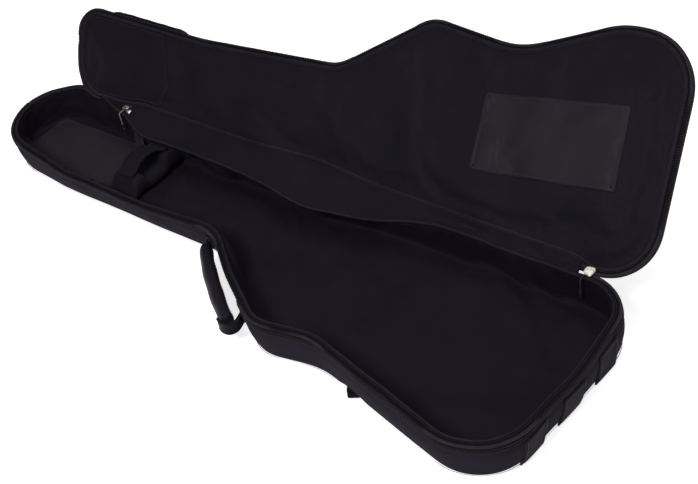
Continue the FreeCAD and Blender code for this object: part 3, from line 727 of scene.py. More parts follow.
def stitch_line(line, normals, closed=False, length=None, gap=0.35, radius=0.00040, lift=0.0002):
    """Small round-ended stitches along a line, ready for together()."""
    step = (length or sizes().stitch)
    joined = np.hstack([line, normals])
    joined = resample(joined, step, closed)
    place, up = joined[:, :3], unit(joined[:, 3:])
    parts = []
    last = len(place) if closed else len(place) - 1
    for i in range(last):
        a, b = place[i], place[(i + 1) % len(place)]
        run = b - a
        a, b = a + run * gap * 0.5, b - run * gap * 0.5
        run /= max(1e-9, np.linalg.norm(run))
        side = np.cross(run, up[i])
        side /= max(1e-9, np.linalg.norm(side))
        rings = []
        for t, r, h in ((0.0, 0.25, -0.6), (0.18, 0.9, 0.6), (0.5, 1.0, 1.0), (0.82, 0.9, 0.6),
                        (1.0, 0.25, -0.6)):
            centre = a + (b - a) * t + up[i] * (lift + h * radius)
            rings.append([centre + side * radius * r, centre + up[i] * radius * r,
                          centre - side * radius * r, centre - up[i] * radius * r])
        parts.append((np.array(rings), False, True))
    return parts


def teeth(line, across, up, width=0.0046, height=0.0015, thick=0.0015):
    """Coil teeth: a rib across the tape at each point of an evenly spaced line."""
    parts = []
    run = unit(np.gradient(line, axis=0))
    for p, a, u, r in zip(line, across, up, run):
        rings = []
        for t, h in ((-0.5, 0.0), (-0.36, 0.8), (0.0, 1.0), (0.36, 0.8), (0.5, 0.0)):
            centre = p + a * (t * width) + u * (h * height)
            lean = r * (t * thick * 0.9)
            half = thick * 0.5
            rings.append([centre + lean + r * half, centre + lean + u * half * 0.7,
                          centre + lean - r * half, centre + lean - u * half * 0.7])
        parts.append((np.array(rings), False, True))
    return parts


def ride(piece, body, slot_name, *nodes):
    """Gives a piece its body and the nodes it stands for; the slot it is handed is not used."""
    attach(piece, body)
    if nodes:
        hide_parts(*nodes)


def ride_lid(piece, slot_name, *nodes):
    """Opens a piece built on the shut lid, then lets it ride the lid."""
    opened(piece)
    ride(piece, "lid", slot_name, *nodes)


def cord_along(name, line, radius):
    """Piping: a round cord along a closed line."""
    points = tube_points(line, radius, 10, closed=True)
    return grid_object(name, points, "piping", True, True)


SURFACES = {}


def keep_surface(name, piece):
    """Keeps the shape of a piece, so that others can be laid on it."""
    mesh = piece.data
    SURFACES[name] = BVHTree.FromPolygons([v.co.copy() for v in mesh.vertices],
                                          [tuple(p.vertices) for p in mesh.polygons])


def height_on(name, x, y, start, direction, otherwise):
    """Height of a kept surface over each x, y, seen from the height start."""
    tree = SURFACES[name]
    heights = []
    for px, py in zip(np.ravel(x), np.ravel(y)):
        hit = tree.ray_cast(Vector((px, py, start)), Vector((0, 0, direction)))
        heights.append(hit[0].z if hit[0] is not None else otherwise)
    return np.array(heights).reshape(np.shape(x))


def rounded_polygon(corners, radius, step):
    """Evenly spaced points round a polygon with rounded corners, and their outward normals."""
    points = [np.array(c, float) for c in corners]
    area = sum(a[0] * b[1] - a[1] * b[0] for a, b in zip(points, points[1:] + points[:1]))
    if area < 0:
        points.reverse()
    line = []
    for i, p in enumerate(points):
        before = p - points[i - 1]
        after = points[(i + 1) % len(points)] - p
        reach = min(radius, np.linalg.norm(before) * 0.45, np.linalg.norm(after) * 0.45)
        before /= np.linalg.norm(before)
        after /= np.linalg.norm(after)
        for t in np.linspace(0, 1, 7):
            line.append((1 - t) ** 2 * (p - before * reach) + 2 * t * (1 - t) * p
                        + t ** 2 * (p + after * reach))
    line = resample(np.array(line), step, closed=True)
    run = tangents(line)
    normal = np.stack([run[:, 1], -run[:, 0]], 1)
    return line, normal


def patch(name, corners, radius, height, side, thick, slot_name, spacing=0.009, hem=0.006):
    """A sewn-on patch with a folded hem; height(x, y) is what it lies on and side (1 or -1) is up.
    Returns the patch and its stitches."""
    ring, normal = rounded_polygon(corners, radius, 0.004)
    insets = [0.0, 0.0, 0.0008, 0.0024, hem - 0.0016, hem, hem + 0.0018]
    rises = [-0.1, 0.6, 1.0, 1.15, 1.10, 0.80, 0.95]
    rows = [ring - normal * d for d in insets]
    inner, faces = filled(rows[-1], spacing)
    count = len(ring)
    flat = np.vstack([np.stack(rows, 1).reshape(-1, 2), inner[count:]])
    rise = np.concatenate([np.tile(rises, count), np.full(len(inner) - count, 1.0)]) * thick
    base = height(flat[:, 0], flat[:, 1])
    puff = 0.0006 * np.sin(flat[:, 0] * 60.0 + flat[:, 1] * 35.0) * (rise > 0.9 * thick)
    points = np.column_stack([flat, base + side * (rise + puff)])
    k = len(insets)
    polygons = grid_faces(count, k, True, False)
    index = np.concatenate([np.arange(count) * k + k - 1,
                            count * k + np.arange(len(inner) - count)])
    polygons += [tuple(int(index[v]) for v in f) for f in faces]
    piece = make_object(name, points, polygons, slot_name)
    line = ring - normal * (hem * 0.66)
    z = height(line[:, 0], line[:, 1]) + side * thick * 1.12
    parts = stitch_line(np.column_stack([line, z]), upward(count, side), closed=True)
    return piece, together(name + "_stitches", parts, "thread")


def finish_pair(piece, seam, body, slot_name, nodes, turn=False):
    """A patch and its stitches, on the body of the nodes they stand for; the slot is not used."""
    if turn:
        opened(piece)
        opened(seam)
    ride(piece, body, slot_name, *nodes)
    seam.parent = piece


def upward(count, sign=1.0):
    """The upward (or, with a sign of -1, downward) direction for each of count points."""
    return np.tile([0.0, 0.0, float(sign)], (count, 1))


def sew(piece, name, parts, turn=False, slot_name="thread"):
    """Stitches that belong to a piece, turned with the open lid if turn is set."""
    seam = together(name + "_stitches", parts, slot_name)
    if turn:
        opened(seam)
    seam.parent = piece


def strap_rise(x, y):
    """How far the padded back lifts over the shoulder straps folded under it."""
    rise = np.zeros(np.shape(x))
    for ax, ay, bx, by, half, height in strap_runs():
        run = np.array([bx - ax, by - ay])
        length = np.linalg.norm(run)
        run = run / length
        along = (x - ax) * run[0] + (y - ay) * run[1]
        off = np.abs((x - ax) * -run[1] + (y - ay) * run[0])
        ends = window(-0.016, -0.003, length + 0.003, length + 0.016, along)
        rise = np.maximum(rise, height * ends * (1 - smooth_step(half + 0.001, half + 0.014, off)))
    return rise


def strap_runs():
    """Each strap part under the back: start, end, half width and height with its clearance."""
    runs = []
    for side in ("near", "far"):
        pad, adjuster, tail = strap_points(side)
        runs.append((*pad[0], *pad[1], 0.030, 0.0095))
        runs.append((*adjuster[0], *adjuster[1], 0.018, 0.0085))
        runs.append((*tail[0], *tail[1], 0.0125, 0.0066))
    return runs


def strap_points(side):
    """Centre lines of a strap's pad, adjuster and tail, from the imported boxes."""
    near = side == "near"
    top = np.array([-0.110, 0.072 if near else 0.140])
    low = np.array([0.245, 0.0 if near else 0.148])
    tail_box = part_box("strap_tail_" + side)
    tail_y = tail_box[0].y + 0.018 if near else tail_box[1].y - 0.008
    tail = np.array([0.330, tail_y])
    run = tail - low
    run /= np.linalg.norm(run)
    start = low + run * 0.020
    stop = start + run * 0.030
    return (top, low), (start, stop), (start + run * 0.015, tail)


def tray_points(edge, out, z):
    """Wall points that also clear the straps under the bag."""
    points = edge.wall(out, z)
    low = np.clip(1 - points[..., 2] / 0.024, 0, 1)
    points[..., 2] += strap_rise(points[..., 0], points[..., 1]) * low
    points[..., 2] = np.maximum(points[..., 2], 0.0003)
    return points


def ring_and_fill(points, inner_xy, faces, heights):
    """Joins a lofted band whose last column is a ring with the triangles that fill it."""
    rows, columns = points.shape[:2]
    extra = np.column_stack([inner_xy[rows:], heights])
    vertices = np.vstack([points.reshape(-1, 3), extra])
    index = np.concatenate([np.arange(rows) * columns + columns - 1,
                            rows * columns + np.arange(len(extra))])
    polygons = grid_faces(rows, columns, True, False)
    polygons += [tuple(int(index[v]) for v in f) for f in faces]
    return vertices, polygons


def distance_inside(edge, x, y):
    """Distance of each point from the outline."""
    far = np.full(len(x), 1.0)
    for start in range(0, len(x), 500):
        part = slice(start, start + 500)
        d = (x[part, None] - edge.x[None]) ** 2 + (y[part, None] - edge.y[None]) ** 2
        far[part] = np.sqrt(d.min(1))
    return far


# ---------------------------------------------------------------- the tray

class BAG_OT_tray_padding(Operator):
    """Padded back and wall in the woven outer cloth"""
    bl_idname = "bag.tray_padding"
    bl_label = "Tray padding"

    def execute(self, context):
        edge = tray_edge()
        out = np.array([-26, -18, -12, -8, -5, -2.6, -1, -0.2, 0, 0.3, 0.6, 0.7, 0.6, 0.2, -1.1,
                        0.1, -1.2, -1.5, -1.6, -2.0, -4, -8, -11.5, -12.5, -13]) * MM
        z = np.array([0.4, 0.5, 0.7, 1.2, 2.4, 5, 9, 14, 20, 27, 34, 42, 50, 56.5, 60.5, 65.5,
                      69.2, 71, 75, 77.6, 78.2, 78.2, 77.8, 76, 72]) * MM
        points = tray_points(edge, out, z)
        crease = np.sin(edge.x * 57.0 + 0.7) * np.exp(-((edge.x + 0.02) / 0.16) ** 2)
        points[:, 8:16, :2] += (edge.normal * (crease * 0.0016)[:, None])[:, None]
        near_waist = np.exp(-((edge.x + 0.20) / 0.11) ** 2) * (edge.y < 0.10)
        phase = edge.s[:, None] * 58.0 + points[:, 8:16, 2] * 95.0
        folds = (np.sin(phase) + 0.6 * np.sin(phase * 1.9 + 1.3)) * 0.0009 * near_waist[:, None]
        points[:, 8:16, :2] += edge.normal[:, None] * folds[..., None]
        inner, faces = filled(points[:, 0, :2], 0.012)
        count = edge.count
        x, y = inner[count:, 0], inner[count:, 1]
        heights = 0.0006 + strap_rise(x, y)
        flipped = points[:, ::-1]
        vertices, polygons = ring_and_fill(flipped, inner, faces, heights)
        piece = make_object("tray_padding", vertices, polygons, "shell_fabric")
        ride(piece, "tray", "shell_fabric", "back_shell", "back_foam", "wall_shell", "wall_foam")
        rows = [edge.wall([0.5 * MM], [67.6 * MM])[:, 0], edge.wall([0.55 * MM], [9.0 * MM])[:, 0]]
        up = np.column_stack([edge.normal, np.zeros(count)])
        parts = []
        for line in rows:
            parts += stitch_line(line, up, closed=True)
        sew(piece, "tray_wall", parts)
        return {"FINISHED"}


def zipper_part(name, edge, place, out_tape, z_tape, out_teeth, z_teeth, up, body, nodes, turn):
    """A zipper tape with its seam and its moulded teeth along the zipped part of an edge."""
    rows = np.arange(edge.zip_count)
    tape = place(out_tape, z_tape, rows)
    tape_piece = grid_object(name + "_tape", tape, "zipper_tape", False, True, caps=True)
    line = place(out_teeth, z_teeth, rows)[:, 0]
    normals = np.column_stack([edge.normal[rows], np.zeros(len(rows))])
    joined = resample(np.hstack([line, normals]), sizes().tooth_pitch)
    across = unit(joined[:, 3:])
    parts = teeth(joined[:, :3], across, upward(len(across), up))
    tooth_piece = together(name + "_teeth", parts, "zipper_coil")
    seam_line = place([out_tape[1] + 0.15 * MM], [(z_tape[1] + z_tape[2]) / 2], rows)[:, 0]
    seam = together(name + "_tape_stitches", stitch_line(seam_line, normals), "thread")
    for piece, slot_name, part_nodes in ((tape_piece, "zipper_tape", nodes[:1]),
                                         (tooth_piece, "zipper_coil", nodes[1:])):
        if turn:
            opened(piece)
        ride(piece, body, slot_name, *part_nodes)
    if turn:
        opened(seam)
    seam.parent = tape_piece


class BAG_OT_tray_zipper(Operator):
    """Zipper tape and teeth round the rim of the tray"""
    bl_idname = "bag.tray_zipper"
    bl_label = "Tray zipper"

    def execute(self, context):
        edge = tray_edge()
        tape_out = np.array([-1.0, 0.5, 0.6, 0.2, -1.0, -5.0, -5.0, -1.4]) * MM
        tape_z = np.array([69.2, 69.6, 77.6, 79.2, 79.9, 79.9, 78.6, 78.4]) * MM
        zipper_part("tray_zipper", edge, edge.wall, tape_out, tape_z, [-1.4 * MM], [79.6 * MM], 1,
                    "tray", ["tray_zipper_tape", "tray_zipper_coil"], False)
        return {"FINISHED"}


class BAG_OT_tray_rim(Operator):
    """Binding and piping along the top of the tray's wall"""
    bl_idname = "bag.tray_rim"
    bl_label = "Tray rim"

    def execute(self, context):
        edge = tray_edge()
        out = np.array([-4.4, -5.0, -7.0, -10.4, -11.6, -10.6, -7.0, -4.6]) * MM
        z = np.array([79.4, 80.0, 80.1, 79.8, 78.4, 77.7, 77.7, 78.0]) * MM
        binding = grid_object("rim_binding_cloth", edge.wall(out, z), "zipper_tape", True, True)
        ride(binding, "tray", "shell_fabric", "rim_binding")
        line = edge.wall([-PIPING_INSET], [80.4 * MM])[:, 0]
        wave = 0.0003 * np.sin(edge.s * 260.0)
        piping = cord_along("rim_piping_cord", line, sizes().piping + wave)
        ride(piping, "tray", "piping", "rim_piping")
        seam_line = edge.wall([-7.6 * MM], [80.15 * MM])[:, 0]
        sew(binding, "rim_binding", stitch_line(seam_line, upward(edge.count), closed=True))
        return {"FINISHED"}


class BAG_OT_tray_lining(Operator):
    """Soft lining of the tray's wall and floor"""
    bl_idname = "bag.tray_lining"
    bl_label = "Tray lining"

    def execute(self, context):
        edge = tray_edge()
        out = np.array([-12.6, -13.2, -14.0, -14.8, -15.2, -15.4, -15.2, -14.8, -14.6, -15.4, -17.5,
                        -21.5, -27.0, -34.0]) * MM
        z = np.array([79.0, 77.0, 72.0, 65.0, 58.0, 50.0, 42.0, 35.0, 30.0, 26.0, 23.2, 21.4, 20.6,
                      20.3]) * MM
        points = edge.wall(out, z)
        wobble = (np.sin(edge.s * 41.0) + 0.7 * np.sin(edge.s * 89.0 + 1.0)) * 0.0009
        points[:, 2:9, :2] -= (edge.normal * wobble[:, None])[:, None]
        waist = np.exp(-((edge.x - 0.02) / 0.10) ** 2) * (edge.y < 0.06)
        phase = edge.s[:, None] * 24.0 + points[:, 2:9, 2] * 170.0
        folds = 0.0024 * (1 + np.sin(phase)) * waist[:, None]
        points[:, 2:9, :2] -= edge.normal[:, None] * folds[..., None]
        inner, faces = filled(points[:, -1, :2], 0.0095)
        count = edge.count
        x, y = inner[count:, 0], inner[count:, 1]
        heights = FLOOR_Z + 0.0005 + 0.0010 * (np.sin(x * 27.0 + 1.0) * np.sin(y * 39.0 + x * 11.0)
                                              + 0.6 * np.sin(x * 71.0 + y * 53.0))
        vertices, polygons = ring_and_fill(points, inner, faces, heights)
        piece = make_object("tray_lining", vertices, polygons, "lining_fabric")
        places = coordinates(piece)
        held = np.where(places[:, 2] > 0.074, 1.0, 0.05)
        under_patch = (np.abs(places[:, 0] + 0.49) < 0.14) & (places[:, 2] < 0.03)
        under_cradle = (np.abs(places[:, 0] + 0.306) < 0.045) & (places[:, 2] < 0.03)
        held[under_patch | under_cradle] = 0.8
        settle(piece, held, sizes().wrinkle_growth * 1.4, 0.0040)
        places = coordinates(piece)
        places[:, 2] = np.maximum(places[:, 2], FLOOR_Z - 0.0010)
        set_coordinates(piece, places)
        keep_surface("tray_lining", piece)
        subdivide(piece)
        ride(piece, "tray", "lining_fabric", "floor_lining", "wall_lining")
        return {"FINISHED"}


def on_floor(x, y):
    """Height of the tray's lining over each x, y."""
    return height_on("tray_lining", x, y, 0.060, -1, FLOOR_Z)


class BAG_OT_floor_patch(Operator):
    """Wear patch sewn to the floor at the head end"""
    bl_idname = "bag.floor_patch"
    bl_label = "Floor patch"

    def execute(self, context):
        corners = [(-0.355, 0.030), (-0.355, 0.164), (-0.598, 0.160), (-0.598, 0.034)]
        # its finish is a lightened copy of the wear cloth: painted light for a patch in shade
        piece, seam = patch("floor_head_cloth", corners, 0.028, on_floor, 1, 0.0012, "floor_wear_painted_light")
        finish_pair(piece, seam, "tray", "wear_cloth", ["floor_head_patch"])
        return {"FINISHED"}


class BAG_OT_neck_cradle(Operator):
    """Padded rest for the instrument's neck, with its two fastening tabs"""
    bl_idname = "bag.neck_cradle"
    bl_label = "Neck cradle"

    def execute(self, context):
        low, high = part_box("neck_cradle")
        y = np.linspace(low.y + 0.006, high.y - 0.006, 60)
        middle, top = 0.095, high.z - 0.0005
        groove = 0.0165 * (1 - smooth_step(0.019, 0.030, np.abs(y - middle)))
        ends = (0.026 * (1 - smooth_step(0.0, 0.020, y - y[0]))
                + 0.016 * (1 - smooth_step(0.0, 0.014, y[-1] - y)))
        crown = top - groove - ends
        half = (high.x - low.x) / 2
        centre = (high.x + low.x) / 2
        turn = np.linspace(0, np.pi, 15)
        profile_x = np.cos(turn)
        profile_z = np.sin(turn)
        rows = []
        for py, pz in zip(y, crown):
            base = FLOOR_Z + 0.0004
            x = centre + np.sign(profile_x) * np.abs(profile_x) ** 0.45 * (half - 0.002)
            z = base + (pz - base) * profile_z ** 0.34
            rows.append(np.column_stack([x, np.full(15, py), z]))
        points = np.array(rows)
        piece = grid_object("neck_cradle_pad", points, "cradle_cloth", False, True, caps=True)
        subdivide(piece)
        keep_surface("neck_cradle", piece)
        ride(piece, "tray", "cradle_cloth", "neck_cradle")

        def on_cradle(px, py):
            return height_on("neck_cradle", px, py, 0.08, -1, top)

        parts = []
        for side in (-1, 1):
            line = np.column_stack([np.full(len(y), centre + side * half * 0.72), y, crown])
            line[:, 2] = on_cradle(line[:, 0], line[:, 1]) + 0.0002
            parts += stitch_line(line[3:-3], upward(len(y) - 6))
        sew(piece, "neck_cradle", parts)
        for name in ("neck_strap_root", "neck_strap_catch"):
            lo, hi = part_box(name)
            x0, x1 = lo.x + 0.001, hi.x - 0.001
            corners = [(x0, lo.y), (x1, lo.y), (x1, hi.y), (x0, hi.y)]
            tab, seam = patch(name + "_tab", corners, 0.003, on_cradle, 1, 0.0016, "hook_and_loop",
                              spacing=0.005, hem=0.003)
            finish_pair(tab, seam, "tray", "hook_and_loop", [name])
        return {"FINISHED"}


class BAG_OT_neck_strap(Operator):
    """Padded strap that closes over the instrument's neck"""
    bl_idname = "bag.neck_strap"
    bl_label = "Neck strap"

    def execute(self, context):
        low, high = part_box("neck_strap")
        width = high.x - low.x
        y = np.array([high.y, 0.137, 0.130, 0.1225, 0.115, 0.105, 0.095, 0.085, 0.075, 0.0675,
                      0.060, 0.053, low.y])
        z = np.array([65.4, 65.5, 66.6, 72.0, 77.0, 79.4, 80.0, 79.4, 77.0, 72.0, 66.6, 65.5,
                      65.4]) * MM
        line = resample(np.column_stack([y, z]), 0.003)
        x = np.linspace(-0.5, 0.5, 15)
        rows = []
        for py, pz in line:
            puff = 0.0014 * np.sqrt(np.clip(1 - (2 * x) ** 4, 0, 1))
            rows.append(np.column_stack([(low.x + high.x) / 2 + x * (width - 0.001),
                                         np.full(15, py), pz + puff - 0.0010]))
        upper = np.array(rows)
        run = unit(np.gradient(line, axis=0))
        up = np.column_stack([np.zeros(len(line)), run[:, 1], -run[:, 0]])
        up *= np.sign(up[:, 2].mean())
        lower = upper[:, 1:-1][:, ::-1] - up[:, None] * 0.0016
        points = np.concatenate([upper, lower], axis=1)
        piece = grid_object("neck_strap_cloth", points, "lining_fabric", False, True, caps=True)
        subdivide(piece)
        ride(piece, "neck_strap", "cradle_cloth", "neck_strap")
        parts = []
        for column in (2, 12):
            parts += stitch_line(upper[:, column] + up * 0.0002, up)
        sew(piece, "neck_strap", parts)
        return {"FINISHED"}


class BAG_OT_end_bumpers(Operator):
    """Three stitched wear pads on the body end of the wall"""
    bl_idname = "bag.end_bumpers"
    bl_label = "End bumpers"

    def execute(self, context):
        edge = tray_edge()
        for name in ("near", "middle", "far"):
            low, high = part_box("end_bumper_" + name)
            centre_y = (low.y + high.y) / 2
            centre = edge.nearest((low.x + high.x) / 2 + 0.012, centre_y + 0.014)
            half = (high.y - low.y) / 2
            rise = np.linspace(0, 1, BUMPER_GRID)
            rows = []
            for a in np.linspace(-1, 1, BUMPER_GRID):
                hem = 1.2 * MM * (1 - smooth_step(0.90, 0.97, abs(a)) * 0.25)
                out, z = [], []
                for r in rise:
                    border = 1 - smooth_step(0.88, 0.94, abs(2 * r - 1)) * 0.3
                    dome = 1 - 0.25 * abs(2 * r - 1) ** 4
                    groove = 0.45 * MM * (math.exp(-((abs(2 * r - 1) - 0.86) / 0.02) ** 2)
                                          + math.exp(-((abs(a) - 0.86) / 0.02) ** 2))
                    out.append(hem * border * dome + 0.9 * MM - groove)
                    z.append(1.2 * MM + r * 61.8 * MM)
                rows.append(edge.wall_at(edge.s[centre] + a * half * 1.03, out, z))
            outer = np.array(rows)
            outer[..., 2] = np.maximum(outer[..., 2], 0.0006)
            up = np.array([*edge.normal[centre], 0.0])
            inward = -up * 0.0030
            vertices = list(outer.reshape(-1, 3))
            size, last = BUMPER_GRID, BUMPER_GRID - 1
            faces = grid_faces(size, size, False, False)
            border = [i * size for i in range(size)] + [last * size + j for j in range(1, size)]
            border += [i * size + last for i in range(last - 1, -1, -1)]
            border += list(range(last - 1, 0, -1))
            start = len(vertices)
            vertices += [vertices[i] + inward for i in border]
            total = len(border)
            faces += [(border[i], start + i, start + (i + 1) % total, border[(i + 1) % total])
                      for i in range(total)]
            piece = make_object("end_bumper_" + name + "_pad", vertices, faces, "bumper_cloth")
            ride(piece, "tray", "wear_cloth", "end_bumper_" + name)
            parts = []
            lift = up * 0.0004
            for line in (outer[2, 2:-2], outer[-3, 2:-2], outer[2:-2, 2], outer[2:-2, -3]):
                parts += stitch_line(line + lift, np.tile(up, (len(line), 1)), length=0.004,
                                     radius=0.0007)
            sew(piece, "end_bumper_" + name, parts, slot_name="bumper_thread")
        return {"FINISHED"}


# ---------------------------------------------------------------- handle and straps

def band(name, line, wide, thick, width, slot_name, share=1.0):
    """A flat band along line; wide is the direction of its width at each point."""
    line = np.asarray(line, float)
    wide = unit(np.broadcast_to(np.asarray(wide, float), line.shape))
    flat = unit(np.cross(unit(np.gradient(line, axis=0)), wide))
    profile = []
    for a, b in ((-1, 0), (-0.94, 0.8), (-0.82, 1), (-0.5, 0.92), (0, 1), (0.5, 0.92), (0.82, 1),
                 (0.94, 0.8), (1, 0), (0.94, -0.8), (0.82, -1), (0.5, -0.92), (0, -1),
                 (-0.5, -0.92), (-0.82, -1), (-0.94, -0.8)):
        profile.append((a * width / 2, b * thick / 2))
    profile = np.array(profile)
    share = np.broadcast_to(np.asarray(share, float), (len(line),))[:, None, None]
    points = (line[:, None] + wide[:, None] * profile[None, :, :1] * share
              + flat[:, None] * profile[None, :, 1:])
    piece = grid_object(name, points, slot_name, False, True, caps=True)
    return piece, flat


def curve_through(points, step):
    """A smooth line through points, evenly spaced."""
    points = np.asarray(points, float)
    padded = np.vstack([2 * points[0] - points[1], points, 2 * points[-1] - points[-2]])
    line = []
    for i in range(1, len(padded) - 2):
        a, b, c, d = padded[i - 1:i + 3]
        for t in np.linspace(0, 1, 16, endpoint=False):
            line.append(0.5 * (2 * b + (c - a) * t + (2 * a - 5 * b + 4 * c - d) * t ** 2
                               + (3 * b - a - 3 * c + d) * t ** 3))
    line.append(padded[-2])
    return resample(np.array(line), step)


class BAG_OT_handle(Operator):
    """Padded carry handle, its webbing and the pads that hold it to the wall"""
    bl_idname = "bag.handle"
    bl_label = "Carry handle"

    def execute(self, context):
        edge = tray_edge()
        hinge = JOINTS["handle_hinge"]
        head = Vector(hinge["pos_m"])
        run = Vector(hinge["axis"])
        outward = Vector((run.y, -run.x, 0)).normalized()
        end = Vector((*HANDLE_END, head.z))
        span = (end - head).length

        def place(along, out, rise=0.0):
            return head + run * (span * along) + outward * out + Vector((0, 0, rise))
        grip = curve_through([place(-0.035, -0.0010), place(0.03, 0.0060), place(0.16, 0.0115),
                              place(0.36, 0.0165), place(0.58, 0.0205), place(0.80, 0.0230),
                              place(0.96, 0.0235), place(1.05, 0.0215)], 0.003)
        count = len(grip)
        t = np.linspace(0, 1, count)
        radius = 0.0108 + 0.0018 * np.sin(np.pi * t) + 0.0004 * np.sin(t * 21.0)
        radius = (radius * (0.62 + 0.38 * smooth_step(0.0, 0.07, t))
                  * (0.90 + 0.10 * smooth_step(1.0, 0.95, t)))
        points = tube_points(grip, radius, 24, flatten=1.32)
        seam_dent = np.exp(-((np.arange(24) - 12) / 0.9) ** 2)
        centre = grip[:, None]
        points = centre + (points - centre) * (1 - 0.16 * seam_dent[None, :, None])
        piece = grid_object("handle_grip_cloth", points, "grip_cloth", False, True, caps=True)
        subdivide(piece)
        ride(piece, "carry_handle", "grip_cloth", "handle_grip")
        seam_line = points[:, 10] + (points[:, 10] - grip) * 0.02
        ups = points[:, 10] - grip
        sew(piece, "handle_grip", stitch_line(seam_line, ups))

        up = np.array([0.0, 0.0, 1.0])
        head_line = curve_through([place(-0.060, -0.0118), place(-0.062, -0.008),
                                   place(-0.055, -0.003), place(-0.010, 0.0030)], 0.002)
        cuff_line = curve_through([place(0.985, -0.0118), place(1.010, -0.004), place(1.060, 0.004),
                                   place(1.115, 0.0145), place(1.118, 0.0270), place(1.070, 0.0345),
                                   place(1.000, 0.0368)], 0.002)
        for name, line, node in (("handle_webbing_head_band", head_line, "handle_webbing_head"),
                                 ("handle_webbing_end_band", cuff_line, "handle_webbing_end")):
            web, flat = band(name, line, up, 0.0030, 0.025, "webbing")
            ride(web, "carry_handle", "webbing", node)
            parts = []
            for offset in (-0.0098, 0.0098):
                for side in (-1, 1):
                    row = line + up * offset + flat * (side * 0.00165)
                    parts += stitch_line(row, flat * side)
            sew(web, name, parts)

        for name, along in (("handle_anchor_head", 0.0), ("handle_anchor_end", 1.0)):
            spot = place(along, 0.0)
            centre = edge.nearest(spot.x, spot.y)
            rows = []
            half = 0.017
            for a in np.linspace(-1, 1, 17):
                z = np.linspace(head.z - 0.019, head.z + 0.019, 17)
                b = np.linspace(-1, 1, 17)
                soft = (1 - 0.55 * smooth_step(0.88, 1.0, np.abs(b))
                        - 0.55 * smooth_step(0.88, 1.0, abs(a)))
                groove = 0.5 * (np.exp(-((np.abs(b) - 0.80) / 0.05) ** 2)
                                + math.exp(-((abs(a) - 0.80) / 0.05) ** 2))
                out = (0.4 + 2.2 * np.clip(soft, 0, 1) - 0.5 * groove) * MM
                rows.append(edge.wall_at(edge.s[centre] + a * half, out, z))
            outer = np.array(rows)
            piece = grid_object(name + "_pad", outer, "webbing")
            up_out = np.array([*edge.normal[centre], 0.0])
            solidify(piece, 0.0026, -1.0)
            ride(piece, "tray", "webbing", name)
            parts = []
            lift = up_out * 0.0003
            diagonals = [np.array([outer[2 + i, 2 + i] for i in range(13)]),
                         np.array([outer[14 - i, 2 + i] for i in range(13)])]
            for line in (outer[2, 2:-2], outer[-3, 2:-2], outer[2:-2, 2], outer[2:-2, -3],
                         *diagonals):
                parts += stitch_line(line + lift, np.tile(up_out, (len(line), 1)))
            sew(piece, name, parts)
        return {"FINISHED"}


